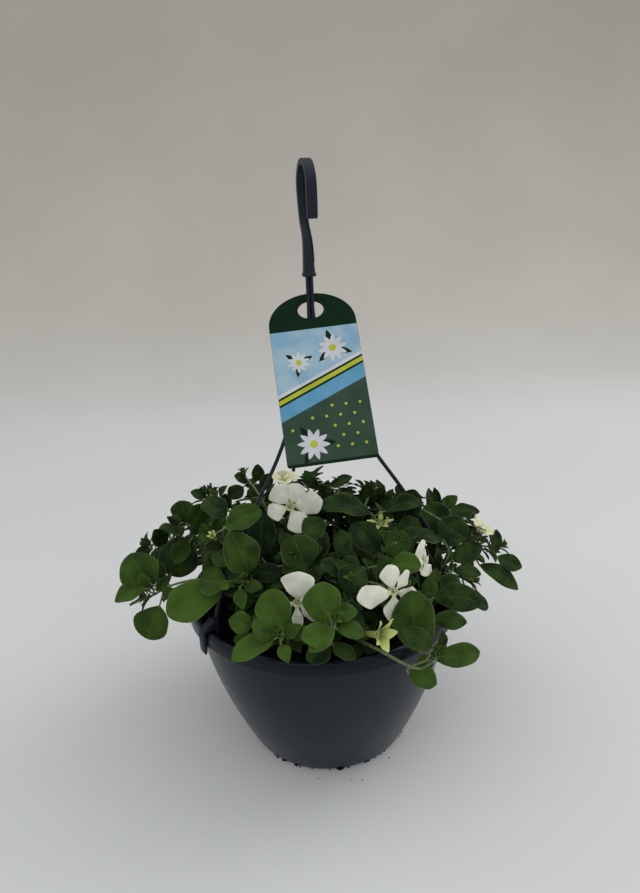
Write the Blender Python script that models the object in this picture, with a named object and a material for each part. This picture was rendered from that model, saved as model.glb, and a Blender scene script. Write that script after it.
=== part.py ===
"""Petunia hanging basket: a reservoir pot on a three-rod hanger, planted with white petunias.

The frame has +Z up and its origin at the centre of the pot's base, where the base meets the
surface that it stands on. Azimuths are in degrees from +X towards +Y; the tag faces -Y.
"""

import math
from collections import namedtuple

import bmesh
import bpy
from mathutils import Matrix, Vector
from mathutils.bvhtree import BVHTree

MM = 0.001
CM = 0.01
GAP = 0.3 * MM  # between pieces that touch

# Pot
BASE_RADIUS = 81 * MM
NECK_RADIUS = 128 * MM
NECK_HEIGHT = 157 * MM
WALL_BULGE = 1.65  # how early the wall steepens: 1 would be a plain cone
WALL = 1.8 * MM
BASE_THICKNESS = 2.4 * MM
RIM_HEIGHT = 161 * MM
CREST_RADIUS = 130 * MM
SKIRT_RADIUS = 135 * MM
SKIRT_FOOT = 147.5 * MM
POT_SEGMENTS = 40

# Reservoir insert
PLATE_HEIGHT = 54 * MM
PLATE_THICKNESS = 2 * MM
WICK_TOP_RADIUS = 24 * MM
WICK_FOOT_RADIUS = 16 * MM
WATER_HOLES = 8
WATER_HOLE_RADIUS = 3 * MM
WATER_HOLE_RING = 62 * MM

# Soil
SOIL_EDGE_HEIGHT = 139 * MM
SOIL_CROWN = 5 * MM

# Hanger
HOOK_PLANE = 282.5  # azimuth of the side that the hook's free end is on
STRAP_WIDTH = 8 * MM
STRAP_THICKNESS = 3.6 * MM
LOOP_RADIUS = 20.8 * MM
LOOP_CENTRE = (3 * MM, 533.8 * MM)  # along the hook plane, and height
HOOK_END_HEIGHT = 509 * MM
COLLAR_FOOT = 461.5 * MM
COLLAR_TOP = 482 * MM
COLLAR_SIDE = 10.4 * MM
BORE_RADIUS = 3.95 * MM
BORE_DEPTH = 13 * MM
ROD_TOP_RADIUS = 1.6 * MM
ROD_FOOT_RADIUS = 1.9 * MM
CLIP_WIDTH = 8 * MM
# a rod's (radius, height) in mm from inside the collar down to the rim
ROD_STATIONS = (
    (2.05, 473),
    (2.05, 448),
    (2.2, 432),
    (4.0, 415),
    (8.5, 392),
    (17.5, 365),
    (30, 338),
    (48.5, 303),
    (75.5, 263),
    (99.5, 225),
    (115.5, 190),
    (122.0, 168),
    (122.6, 159),
)
BUNDLE_STATIONS = 3  # how many of them lie in the bundle

# Tag
TAG_WIDTH = 77 * MM
TAG_STRAIGHT_TOP = -13 * MM  # heights along the tag, from the hole's centre
TAG_FOOT = -140 * MM
TAG_DOME = 29 * MM
TAG_HOLE = (11.5 * MM, 8.3 * MM)
TAG_THICKNESS = 0.8 * MM
TAG_HOLE_HEIGHT = 432.5 * MM
TAG_LEAN = 33.5  # degrees from upright, foot towards -Y
TAG_TURN = 1.5
TAG_ROLL = 4.8

# Plant
STEM_SIDES = 4  # as many as a limb's rings have places
STEM_RADIUS = 1.6 * MM
STEM_TIP_RADIUS = 0.9 * MM
LEAF_THICKNESS = 0.9 * MM
LEAF_WIDTH_SHARE = 0.62
LEAF_FOLD = 0.16  # how far the two halves of a blade rise from its midrib
LEAF_DROOP = 0.22  # how far a leaf's tip falls, as a share of its length
LEAF_ROWS = ((0.0, 0.06), (0.36, 0.78), (0.74, 0.94))  # (along, share of width)
GOLDEN_ANGLE = math.radians(137.5)
FIRST_LEAF = 0.34  # shares of a stem's length
LAST_LEAF = 0.95
LEAF_SPACING = 0.035
PETALS = 5
NOTCH_DEPTH = 0.34  # how deep the notches between petals cut in
COROLLA_TUBE = 16 * MM
TRIAL_MARGIN = 0.5 * MM

Rod = namedtuple("Rod", "name bundle_azimuth rim_azimuth bow")
RODS = (
    Rod("rod_left", 220, 216, -3.5 * MM),
    Rod("rod_right", 340, 355, 3.5 * MM),
    Rod("rod_back", 100, 109, 0.0),
)

# A shoot's path is three or four (azimuth, radius in cm, height in cm), from the soil to the tip.
# leaves is how many grow along it, size is its longest leaf in cm.
Shoot = namedtuple("Shoot", "name leaves size path")
SHOOTS = (
    Shoot("shoot_left_low", 8, 4.6,
          ((200, 5.0, 14.6), (199, 10.5, 18.6), (197, 14.0, 19.0), (194, 17.0, 17.6))),
    Shoot("shoot_left_outer", 8, 3.6,
          ((172, 5.5, 14.6), (172, 11.0, 19.0), (171, 15.0, 20.2), (171, 18.0, 19.6))),
    Shoot("shoot_left_high", 8, 4.0,
          ((184, 4.0, 14.8), (184, 7.5, 19.5), (182, 11.0, 22.4), (181, 13.5, 23.4))),
    Shoot("shoot_left_front", 8, 4.2,
          ((214, 4.5, 14.8), (212, 6.5, 19.5), (207, 9.0, 22.5), (203, 10.6, 24.0))),
    Shoot("shoot_left_back", 7, 3.4,
          ((154, 4.5, 14.8), (153, 8.0, 19.5), (151, 11.5, 22.8), (150, 13.8, 24.0))),
    Shoot("shoot_back_left", 7, 3.2,
          ((134, 3.5, 14.9), (134, 6.5, 19.5), (133, 9.5, 23.0), (132, 12.0, 24.4))),
    Shoot("shoot_front_left", 8, 3.4,
          ((232, 6.0, 14.6), (230, 8.5, 18.0), (228, 10.4, 20.2), (226, 11.6, 21.4))),
    Shoot("shoot_front_rim", 8, 4.4,
          ((252, 6.0, 14.6), (253, 9.5, 17.4), (254, 12.5, 18.8), (254, 14.6, 19.8))),
    Shoot("shoot_front", 8, 4.0,
          ((271, 5.5, 14.6), (271, 9.0, 17.8), (271, 12.2, 19.6), (270, 14.4, 20.8))),
    Shoot("shoot_front_high", 7, 4.2,
          ((258, 3.0, 14.9), (257, 4.5, 18.5), (256, 6.5, 21.4), (255, 8.2, 23.2))),
    Shoot("shoot_back", 8, 3.4,
          ((98, 4.0, 14.8), (98, 7.0, 19.0), (97, 10.0, 22.0), (96, 12.2, 23.2))),
    Shoot("shoot_back_right", 7, 3.4,
          ((78, 4.5, 14.8), (78, 7.5, 19.0), (78, 9.8, 21.6), (78, 11.6, 22.8))),
    Shoot("shoot_right_back", 7, 4.2,
          ((50, 3.0, 14.9), (51, 5.0, 18.5), (52, 7.5, 21.2), (53, 9.4, 22.6))),
    Shoot("shoot_right_high", 7, 4.6,
          ((27, 3.5, 14.9), (26, 6.0, 18.8), (25, 8.5, 21.6), (25, 10.2, 22.6))),
    Shoot("shoot_right_outer", 8, 4.2,
          ((16, 5.0, 14.7), (15, 9.5, 18.6), (14, 13.0, 20.4), (13, 15.6, 20.6))),
    Shoot("shoot_right_tip", 8, 4.0,
          ((4, 6.0, 14.6), (4, 11.0, 18.0), (4, 15.0, 18.8), (4, 18.0, 18.4))),
    Shoot("shoot_right_low", 7, 4.6,
          ((346, 6.0, 14.6), (347, 10.0, 17.4), (348, 12.6, 17.8), (349, 14.4, 17.0))),
    Shoot("shoot_right_trailing", 8, 4.4,
          ((288, 8.0, 14.5), (288, 13.2, 16.9), (302, 15.0, 15.2), (317, 14.4, 14.8))),
    Shoot("shoot_right_front", 7, 5.2,
          ((300, 4.5, 14.8), (301, 7.5, 18.0), (302, 9.8, 20.0), (303, 12.0, 20.6))),
    Shoot("shoot_front_right", 7, 4.4,
          ((284, 3.5, 14.9), (284, 5.5, 18.5), (284, 8.0, 20.8), (284, 9.8, 21.6))),
    Shoot("shoot_middle_right", 7, 4.2,
          ((324, 3.0, 14.9), (324, 5.0, 18.8), (323, 7.0, 21.4), (322, 8.6, 22.8))),
    Shoot("shoot_middle", 7, 4.0,
          ((150, 1.0, 14.9), (160, 1.6, 18.5), (175, 2.4, 21.5), (190, 3.2, 23.8))),
    Shoot("shoot_back_low", 8, 4.0,
          ((88, 7.0, 14.6), (88, 11.5, 17.6), (87, 14.6, 18.0), (87, 17.0, 16.8))),
    Shoot("shoot_back_left_low", 8, 4.0,
          ((118, 7.0, 14.6), (118, 11.2, 17.8), (118, 14.2, 18.6), (117, 16.6, 17.8))),
    Shoot("shoot_back_right_low", 8, 4.0,
          ((58, 7.0, 14.6), (58, 11.0, 17.8), (58, 14.0, 18.6), (58, 16.6, 17.6))),
    Shoot("shoot_far_left_low", 8, 3.8,
          ((146, 7.0, 14.6), (146, 11.4, 17.8), (146, 14.4, 18.6), (146, 17.0, 17.8))),
    Shoot("shoot_far_right_low", 8, 4.0,
          ((32, 7.0, 14.6), (32, 11.4, 17.8), (32, 14.6, 18.4), (32, 17.4, 17.6))),
    Shoot("shoot_under_right", 6, 3.8,
          ((330, 7.5, 14.5), (331, 11.2, 16.9), (332, 13.4, 16.6), (333, 15.2, 15.6))),
)

# A bloom grows from a shoot at share of its length; throat is its (x, y, z) in cm and it looks
# along (azimuth, elevation). size is its diameter in cm, or a bud's length.
Bloom = namedtuple("Bloom", "name shoot share throat looks size")
FLOWERS = (
    Bloom("flower_top", "shoot_middle", 0.80, (-2.8, -3.0, 26.0), (278, 25), 5.2),
    Bloom("flower_front", "shoot_front_high", 0.45, (-2.0, -11.0, 22.0), (265, 10), 4.4),
    Bloom("flower_right", "shoot_front_right", 0.60, (5.2, -11.4, 21.8), (285, 20), 4.8),
    Bloom("flower_behind_right", "shoot_middle_right", 0.80, (8.8, -5.0, 21.2), (310, 10), 3.6),
    Bloom("flower_behind_top", "shoot_back", 0.40, (-3.7, 4.8, 25.4), (110, 40), 3.8),
    Bloom("flower_side", "shoot_right_outer", 0.80, (17.2, 1.6, 20.8), (345, 40), 3.2),
)
BUDS = (
    Bloom("bud_middle", "shoot_middle_right", 0.58, (5.6, -2.0, 23.6), (300, 60), 2.0),
    Bloom("bud_front", "shoot_front", 0.70, (4.4, -14.2, 19.0), (320, 5), 2.6),
    Bloom("bud_left", "shoot_left_front", 0.85, (-9.6, -5.6, 24.6), (250, 50), 1.6),
    Bloom("bud_left_back", "shoot_left_back", 0.80, (-11.2, 5.0, 25.2), (170, 60), 1.6),
    Bloom("bud_trailing", "shoot_right_trailing", 0.80, (9.6, -12.0, 16.4), (300, 50), 1.4),
)


def clear_scene():
    for thing in list(bpy.data.objects):
        bpy.data.objects.remove(thing, do_unlink=True)


def material(name, colour, roughness):
    made = bpy.data.materials.new(name)
    made.use_nodes = True
    shader = made.node_tree.nodes["Principled BSDF"]
    shader.inputs["Base Color"].default_value = (*colour, 1.0)
    shader.inputs["Roughness"].default_value = roughness
    shader.inputs["Metallic"].default_value = 0.0
    return made


def add_object(name, bm, finish, smooth=True):
    """Links a bmesh as an object, with its normals pointing out."""
    bmesh.ops.recalc_face_normals(bm, faces=bm.faces)
    mesh = bpy.data.meshes.new(name)
    bm.to_mesh(mesh)
    bm.free()
    if smooth:
        mesh.shade_smooth()
        mesh.set_sharp_from_angle(angle=math.radians(35))
    mesh.materials.append(finish)
    thing = bpy.data.objects.new(name, mesh)
    bpy.context.collection.objects.link(thing)
    return thing


def polar(azimuth, radius, height):
    angle = math.radians(azimuth)
    return Vector((radius * math.cos(angle), radius * math.sin(angle), height))


def direction(azimuth, elevation):
    return polar(azimuth, math.cos(math.radians(elevation)), math.sin(math.radians(elevation)))


def smooth_path(points, per_span):
    """A Catmull-Rom curve through the points."""
    points = [Vector(p) for p in points]
    ends = [2 * points[0] - points[1], *points, 2 * points[-1] - points[-2]]
    path = []
    for a, b, c, d in zip(ends, ends[1:], ends[2:], ends[3:]):
        for step in range(per_span):
            t = step / per_span
            curve = 2 * b + (c - a) * t + (2 * a - 5 * b + 4 * c - d) * t**2 + (3 * b - a - 3 * c + d) * t**3
            path.append(curve / 2)
    path.append(points[-1])
    return path


def point_on(path, share):
    """The point at a share of a path's length, and the path's direction there."""
    lengths = [(b - a).length for a, b in zip(path, path[1:])]
    left = share * sum(lengths)
    for a, b, length in zip(path, path[1:], lengths):
        if left <= length:
            return a.lerp(b, left / length), (b - a).normalized()
        left -= length
    return path[-1], (path[-1] - path[-2]).normalized()


def bridge_rings(bm, rings, start_cap=True, end_cap=True):
    """Joins rings of equally many vertices into a tube. A ring of one vertex is a point."""
    for lower, upper in zip(rings, rings[1:]):
        count = max(len(lower), len(upper))
        for i in range(count):
            j = (i + 1) % count
            corners = [lower[i % len(lower)], lower[j % len(lower)]]
            corners += [upper[j % len(upper)], upper[i % len(upper)]]
            bm.faces.new(list(dict.fromkeys(corners)))
    if start_cap and len(rings[0]) > 1:
        bm.faces.new(rings[0])
    if end_cap and len(rings[-1]) > 1:
        bm.faces.new(rings[-1])


def swept_rings(path, sections, normal=None):
    """Places of outlines, each a list of (across, up) offsets, carried along a path."""
    if normal is None:
        normal = Vector((0, 0, 1)) if abs((path[1] - path[0]).normalized().z) < 0.9 else Vector((1, 0, 0))
    rings = []
    for i, point in enumerate(path):
        ahead = (path[min(i + 1, len(path) - 1)] - path[max(i - 1, 0)]).normalized()
        normal = (normal - normal.dot(ahead) * ahead).normalized()
        across = ahead.cross(normal)
        rings.append([point + a * across + u * normal for a, u in sections[i]])
    return rings


def body_of(rings):
    """A closed body from rings of places, as a bmesh."""
    bm = bmesh.new()
    bridge_rings(bm, [[bm.verts.new(place) for place in ring] for ring in rings])
    return bm


def circle(radius, sides):
    angles = [math.tau * k / sides for k in range(sides)]
    return [(radius * math.cos(angle), radius * math.sin(angle)) for angle in angles]


def tube_rings(path, start_radius, end_radius, sides):
    last = len(path) - 1
    radii = [start_radius + (end_radius - start_radius) * i / last for i in range(last + 1)]
    return swept_rings(path, [circle(radius, sides) for radius in radii])


def tube(path, start_radius, end_radius, sides):
    return body_of(tube_rings(path, start_radius, end_radius, sides))


def lathe(name, profile, segments, finish):
    """Turns a profile of (radius, height) about Z. Its first and last points are on the axis."""
    bm = bmesh.new()
    rings = []
    for radius, height in profile:
        if radius == 0:
            rings.append([bm.verts.new((0, 0, height))])
        else:
            rings.append([bm.verts.new(polar(360 * k / segments, radius, height)) for k in range(segments)])
    bridge_rings(bm, rings)
    return add_object(name, bm, finish)


def evaluated_mesh(thing):
    graph = bpy.context.evaluated_depsgraph_get()
    return bpy.data.meshes.new_from_object(thing.evaluated_get(graph))


def boolean(thing, tools, operation):
    """Joins tools to an object, or cuts them from it, and removes them."""
    group = bpy.data.collections.new("tools")
    for tool in tools:
        group.objects.link(tool)
    modifier = thing.modifiers.new("boolean", "BOOLEAN")
    modifier.operation = operation
    modifier.operand_type = "COLLECTION"
    modifier.collection = group
    thing.data = evaluated_mesh(thing)
    thing.modifiers.clear()
    for tool in tools:
        bpy.data.objects.remove(tool, do_unlink=True)
    bpy.data.collections.remove(group)


# ---------------------------------------------------------------- pot and what it holds


def wall_radius(height):
    """Outer radius of the pot's wall."""
    rise = min(max(height / NECK_HEIGHT, 0.0), 1.0)
    return BASE_RADIUS + (NECK_RADIUS - BASE_RADIUS) * (1 - (1 - rise) ** WALL_BULGE)


def inner_radius(height):
    return wall_radius(height) - WALL


def make_pot(finish):
    steps = 7
    heights = [NECK_HEIGHT * k / steps for k in range(1, steps + 1)]
    outside = [(0, 0), (BASE_RADIUS - 2 * MM, 0), (BASE_RADIUS + 0.6 * MM, 2 * MM)]
    outside += [(wall_radius(height), height) for height in heights]
    lip = [
        (SKIRT_RADIUS - 3.4 * MM, NECK_HEIGHT - 1 * MM),
        (SKIRT_RADIUS - 1.6 * MM, SKIRT_FOOT),
        (SKIRT_RADIUS, SKIRT_FOOT),
        (SKIRT_RADIUS - 0.4 * MM, SKIRT_FOOT + 7 * MM),
        (SKIRT_RADIUS - 2 * MM, RIM_HEIGHT - 1.6 * MM),
        (CREST_RADIUS + 1 * MM, RIM_HEIGHT),
        (CREST_RADIUS - 1.6 * MM, RIM_HEIGHT),
        (CREST_RADIUS - 3.4 * MM, RIM_HEIGHT - 2 * MM),
    ]
    inside = [(inner_radius(height), height) for height in reversed(heights[:-1])]
    inside += [(BASE_RADIUS - 3 * MM, BASE_THICKNESS), (0, BASE_THICKNESS)]
    return lathe("pot", outside + lip + inside, POT_SEGMENTS, finish)


def make_reservoir_insert(finish):
    top = PLATE_HEIGHT + PLATE_THICKNESS
    edge = inner_radius(PLATE_HEIGHT) - 2 * GAP
    foot = BASE_THICKNESS + GAP
    profile = [
        (0, foot),
        (WICK_FOOT_RADIUS, foot),
        (WICK_TOP_RADIUS, PLATE_HEIGHT),
        (edge, PLATE_HEIGHT),
        (edge, top),
        (WICK_TOP_RADIUS - 1 * MM, top),
        (WICK_FOOT_RADIUS - PLATE_THICKNESS, foot + PLATE_THICKNESS),
        (0, foot + PLATE_THICKNESS),
    ]
    insert = lathe("reservoir_insert", profile, 28, finish)
    drills = []
    for k in range(WATER_HOLES):
        start = polar(360 * (k + 0.5) / WATER_HOLES, WATER_HOLE_RING, PLATE_HEIGHT - 2 * MM)
        drill = tube([start, start + Vector((0, 0, 6 * MM))], WATER_HOLE_RADIUS, WATER_HOLE_RADIUS, 6)
        drills.append(add_object("drill", drill, finish))
    boolean(insert, drills, "DIFFERENCE")
    return insert


def soil_height(x, y):
    """The soil's top: a low crown with soft lumps."""
    away = math.hypot(x, y) / inner_radius(SOIL_EDGE_HEIGHT)
    lumps = math.sin(95 * x + 0.6) * math.cos(83 * y) + 0.6 * math.sin(170 * y + 120 * x)
    return SOIL_EDGE_HEIGHT + SOIL_CROWN * (1 - away**2) + 0.9 * MM * lumps * (1 - away**4)


def make_soil(finish):
    segments = 32
    bottom = PLATE_HEIGHT + PLATE_THICKNESS + GAP
    bm = bmesh.new()
    profile = [
        (WICK_FOOT_RADIUS - 3 * MM, BASE_THICKNESS + PLATE_THICKNESS + 3 * GAP),
        (WICK_TOP_RADIUS - 2.5 * MM, bottom),
    ]
    heights = [bottom, bottom + 28 * MM, bottom + 56 * MM, SOIL_EDGE_HEIGHT]
    profile += [(inner_radius(height) - 2 * GAP, height) for height in heights]
    rings = [[bm.verts.new((0, 0, profile[0][1]))]]
    for radius, height in profile:
        rings.append([bm.verts.new(polar(360 * k / segments, radius, height)) for k in range(segments)])
    for radius in (100 * MM, 75 * MM, 50 * MM, 25 * MM):
        ring = []
        for k in range(segments):
            point = polar(360 * k / segments, radius, 0)
            ring.append(bm.verts.new((point.x, point.y, soil_height(point.x, point.y))))
        rings.append(ring)
    rings.append([bm.verts.new((0, 0, soil_height(0, 0)))])
    bridge_rings(bm, rings)
    return add_object("soil", bm, finish)


# ---------------------------------------------------------------- hanger


def hook_point(along, height):
    return polar(HOOK_PLANE, along, height)


def make_hook(finish):
    """The strap rises from the collar, swings back and loops over to its free end."""
    centre, middle = LOOP_CENTRE
    rise = smooth_path(
        [
            hook_point(0, COLLAR_TOP - 8 * MM),
            hook_point(-0.5 * MM, 487 * MM),
            hook_point(-4 * MM, 496 * MM),
            hook_point(-12 * MM, 509 * MM),
            hook_point(centre - LOOP_RADIUS, middle - 4 * MM),
        ],
        4,
    )
    arc = []
    for degrees in range(0, 181, 12):
        turned = math.radians(degrees)
        along = centre - LOOP_RADIUS * math.cos(turned)
        arc.append(hook_point(along, middle + LOOP_RADIUS * math.sin(turned)))
    end = [hook_point(centre + LOOP_RADIUS - 0.3 * MM, (middle + HOOK_END_HEIGHT) / 2)]
    end.append(hook_point(centre + LOOP_RADIUS - 1 * MM, HOOK_END_HEIGHT))
    path = rise + arc + end
    half_width = STRAP_WIDTH / 2
    half_thickness = STRAP_THICKNESS / 2
    edge = 0.8 * MM
    section = [
        (half_width, half_thickness - edge),
        (half_width - edge, half_thickness),
        (-half_width + edge, half_thickness),
        (-half_width, half_thickness - edge),
        (-half_width, -half_thickness + edge),
        (-half_width + edge, -half_thickness),
        (half_width - edge, -half_thickness),
        (half_width, -half_thickness + edge),
    ]
    strap = body_of(swept_rings(path, [section] * len(path), normal=direction(HOOK_PLANE, 0)))
    hook = add_object("hanger_hook", strap, finish)

    side = COLLAR_SIDE / 2
    corner = 1.4 * MM
    outline = []
    for a, b in ((1, 1), (-1, 1), (-1, -1), (1, -1)):
        pair = [(a * side, b * (side - corner)), (a * (side - corner), b * side)]
        outline += pair if a * b > 0 else pair[::-1]
    lip_top = COLLAR_FOOT + 3 * MM
    levels = ((COLLAR_FOOT, 1.1), (lip_top, 1.1), (lip_top + 1 * MM, 0.96), (COLLAR_TOP, 0.82))
    heights = [Vector((0, 0, height)) for height, _ in levels]
    outlines = [[(a * scale, b * scale) for a, b in outline] for _, scale in levels]
    collar = body_of(swept_rings(heights, outlines, normal=direction(HOOK_PLANE, 0)))
    boolean(hook, [add_object("collar", collar, finish)], "UNION")

    ends = [Vector((0, 0, COLLAR_FOOT - 2 * MM)), Vector((0, 0, COLLAR_FOOT + BORE_DEPTH))]
    boolean(hook, [add_object("bore", tube(ends, BORE_RADIUS, BORE_RADIUS, 16), finish)], "DIFFERENCE")
    return hook


def rod_path(rod):
    """Down from the collar in a bundle, out in an S curve, and down inside the rim."""
    highest = ROD_STATIONS[BUNDLE_STATIONS - 1][1]
    lowest = ROD_STATIONS[-1][1]
    points = []
    for radius, height in ROD_STATIONS:
        fall = min(max((highest - height) / (highest - lowest), 0.0), 1.0)
        azimuth = rod.bundle_azimuth + (rod.rim_azimuth - rod.bundle_azimuth) * min(fall * 4, 1.0)
        bowed = radius * MM + rod.bow * math.sin(math.pi * fall)
        points.append(polar(azimuth, bowed, height * MM))
    return smooth_path(points, 2)


def make_rod(rod, finish):
    """A rod with its rim clip: a saddle over the rim whose outer leg hooks under the skirt."""
    made = add_object(rod.name, tube(rod_path(rod), ROD_TOP_RADIUS, ROD_FOOT_RADIUS, 6), finish)

    outer_face = SKIRT_RADIUS + 0.7 * MM
    outline = (
        (120.8 * MM, 150 * MM),
        (124.0 * MM, 150 * MM),
        (124.6 * MM, RIM_HEIGHT + 0.6 * MM),
        (outer_face, RIM_HEIGHT + 0.6 * MM),
        (outer_face, SKIRT_FOOT - 0.6 * MM),
        (outer_face - 1.6 * MM, SKIRT_FOOT - 0.9 * MM),
        (outer_face - 0.6 * MM, 140 * MM),
        (outer_face + 1.2 * MM, 138.6 * MM),
        (outer_face + 3 * MM, 142 * MM),
        (outer_face + 3 * MM, 161 * MM),
        (outer_face + 1 * MM, 166 * MM),
        (129 * MM, 168.4 * MM),
        (122.5 * MM, 167.6 * MM),
        (120.8 * MM, 165 * MM),
    )
    outward = direction(rod.rim_azimuth, 0)
    along = direction(rod.rim_azimuth + 90, 0)
    rings = []
    for side in (-0.5, 0.5):
        offset = side * CLIP_WIDTH * along
        rings.append([offset + r * outward + Vector((0, 0, z)) for r, z in outline])
    boolean(made, [add_object("clip", body_of(rings), finish)], "UNION")
    return made


# ---------------------------------------------------------------- tag


def tag_outline():
    """Half an ellipse over straight sides, as (across, up) from the hole's centre."""
    half = TAG_WIDTH / 2
    corner = 2 * MM
    outline = [(-half + corner, TAG_FOOT), (half - corner, TAG_FOOT), (half, TAG_FOOT + corner)]
    steps = 14
    for k in range(steps + 1):
        angle = math.pi * k / steps
        outline.append((half * math.cos(angle), TAG_STRAIGHT_TOP + TAG_DOME * math.sin(angle)))
    outline.append((-half, TAG_FOOT + corner))
    return outline


def tag_matrix():
    lean = Matrix.Rotation(math.radians(90 - TAG_LEAN), 4, "X")
    turn = Matrix.Rotation(math.radians(TAG_TURN), 4, "Z")
    roll = Matrix.Rotation(math.radians(TAG_ROLL), 4, "Z")
    return Matrix.Translation((0, 0, TAG_HOLE_HEIGHT)) @ turn @ lean @ roll


def make_tag(finish):
    half = TAG_THICKNESS / 2
    card = body_of([[(x, y, z) for x, y in tag_outline()] for z in (-half, half)])
    tag = add_object("hang_tag", card, finish, smooth=False)
    sides = 20
    ellipse = [
        (TAG_HOLE[0] * math.cos(math.tau * k / sides), TAG_HOLE[1] * math.sin(math.tau * k / sides))
        for k in range(sides)
    ]
    hole = body_of([[(x, y, z) for x, y in ellipse] for z in (-2 * half, 2 * half)])
    boolean(tag, [add_object("hole", hole, finish)], "DIFFERENCE")
    tag.data.transform(tag_matrix())
    return tag


# ---------------------------------------------------------------- plant


def shoot_path(shoot):
    return smooth_path([polar(a, r * CM, z * CM) for a, r, z in shoot.path], 3)


def stem_radius(share):
    return STEM_RADIUS + (STEM_TIP_RADIUS - STEM_RADIUS) * share


def leaf_rings(base, azimuth, elevation, length, grow=0.0):
    """A blade with a diamond section, widest past its middle and drooping towards its tip."""
    ahead = direction(azimuth, elevation)
    across = ahead.cross(Vector((0, 0, 1))).normalized()
    normal = across.cross(ahead)
    width = LEAF_WIDTH_SHARE * length
    thick = LEAF_THICKNESS / 2 + grow
    rings = []
    for share, wide in LEAF_ROWS:
        side = width / 2 * wide + grow
        spine = base + share * length * ahead - LEAF_DROOP * length * share**2 * normal
        lift = LEAF_FOLD * side * normal
        rings.append([spine + side * across + lift, spine + thick * normal])
        rings[-1] += [spine - side * across + lift, spine - thick * normal]
    rings.append([base + (length + grow) * ahead - LEAF_DROOP * length * normal])
    return rings


class Space:
    """What is already there, so that nothing new is grown through it."""

    def __init__(self):
        self.bodies = []

    def add(self, owner, bm):
        low, high = self.corners(bm)
        self.bodies.append((owner, BVHTree.FromBMesh(bm), low, high))

    def corners(self, bm):
        low = Vector([min(v.co[i] for v in bm.verts) for i in range(3)])
        high = Vector([max(v.co[i] for v in bm.verts) for i in range(3)])
        return low, high

    def meets(self, bm, but=()):
        """Names of the bodies that a new one would cut through."""
        tree = BVHTree.FromBMesh(bm)
        low, high = self.corners(bm)
        met = []
        for name, other, other_low, other_high in self.bodies:
            apart = any(low[i] > other_high[i] or high[i] < other_low[i] for i in range(3))
            if name not in but and not apart and tree.overlap(other):
                met.append(name)
        return met


def fitting_leaf(space, stem_name, base, azimuth, elevation, length):
    """Rings of a leaf that is clear of everything but its own stem, or None.

    It is tried as wished, then shorter, turned and lifted.
    """
    start = base + 2 * stem_radius(0) * direction(azimuth, elevation)
    for shorter in (1.0, 0.85, 0.7, 0.55):
        for turned, lifted in ((0, 0), (18, 8), (-18, 8), (0, 20), (34, 0), (-34, 0), (0, -18)):
            way = (azimuth + turned, elevation + lifted, length * shorter)
            trial = body_of(leaf_rings(start, *way, grow=TRIAL_MARGIN))
            met = space.meets(trial, but=(stem_name,))
            trial.free()
            if not met:
                return leaf_rings(start, *way)
    return None


def bloom_depth(bloom):
    """How far behind its throat a flower's tube, or a bud, begins."""
    return COROLLA_TUBE if bloom in FLOWERS else bloom.size * CM


def stalk_rings(bloom, path):
    """From the shoot to the back of the bloom, leaving sideways and arriving straight."""
    start, along = point_on(path, bloom.share)
    looks = direction(*bloom.looks)
    end = Vector(bloom.throat) * CM - looks * (bloom_depth(bloom) + GAP)
    neck = end - 4 * MM * looks
    middle = (start + neck) / 2 + 0.2 * (neck - start).length * along
    route = smooth_path([start, middle, neck], 2) + [end]
    return tube_rings(route, 0.75 * MM, 1.1 * MM, STEM_SIDES)[1:]


def corolla_rings(bloom, grow=0.0):
    """Five lobes on a funnel and a tube, turned about the way the flower looks."""
    looks = direction(*bloom.looks)
    across = looks.cross(Vector((0, 0, 1))).normalized()
    up = across.cross(looks)
    centre = Vector(bloom.throat) * CM
    reach = bloom.size * CM / 2
    # (radius, depth along the way it looks, how lobed) from the throat, over the edge, to the tube
    front = ((1.6 * MM, -6 * MM, 0), (0.35 * reach, 0, 0), (0.7 * reach, 1.2 * MM + grow, 0.5))
    edge = (reach + grow, 0.6 * MM, 1.0)
    back = (
        (0.68 * reach + grow, -0.2 * MM - grow, 0.5),
        (0.32 * reach + grow, -2.6 * MM - grow, 0),
        (1.8 * MM + grow, GAP - COROLLA_TUBE, 0),
    )
    rings = [[centre - 9 * MM * looks]]
    for radius, depth, lobed in (*front, edge, *back):
        ring = []
        for k in range(2 * PETALS):
            angle = math.pi * k / PETALS
            spread = radius * (1 - NOTCH_DEPTH * lobed * (k % 2))
            ring.append(centre + spread * (math.sin(angle) * across + math.cos(angle) * up) + depth * looks)
        rings.append(ring)
    return rings


def bud_rings(bloom, grow=0.0):
    looks = direction(*bloom.looks)
    length = bloom.size * CM
    start = Vector(bloom.throat) * CM - looks * (length - GAP)
    shape = ((0.0, 0.10), (0.30, 0.16), (0.62, 0.22), (0.86, 0.14), (1.0, 0.03))
    path = [start + share * length * looks for share, _ in shape]
    return swept_rings(path, [circle(wide * length + grow, 6) for _, wide in shape])


def make_blooms(space, blooms, rings_of, finish):
    for bloom in blooms:
        trial = body_of(rings_of(bloom, grow=TRIAL_MARGIN))
        space.add(bloom.name, trial)
        trial.free()
        add_object(bloom.name, body_of(rings_of(bloom)), finish)


def facing_quad(bm, lower, upper, towards):
    """The side of the stem between two rings that faces a limb, and how its corners lie."""
    count = len(lower)
    middle = sum((v.co for v in lower + upper), Vector()) / (2 * count)

    def outward(k):
        corners = (lower[k], lower[(k + 1) % count], upper[(k + 1) % count], upper[k])
        return (sum((v.co for v in corners), Vector()) / 4 - middle).dot(towards - middle)

    k = max(range(count), key=outward)
    corners = [lower[k], lower[(k + 1) % count], upper[(k + 1) % count], upper[k]]
    bm.faces.remove(bm.faces.get(corners))
    return corners


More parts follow.
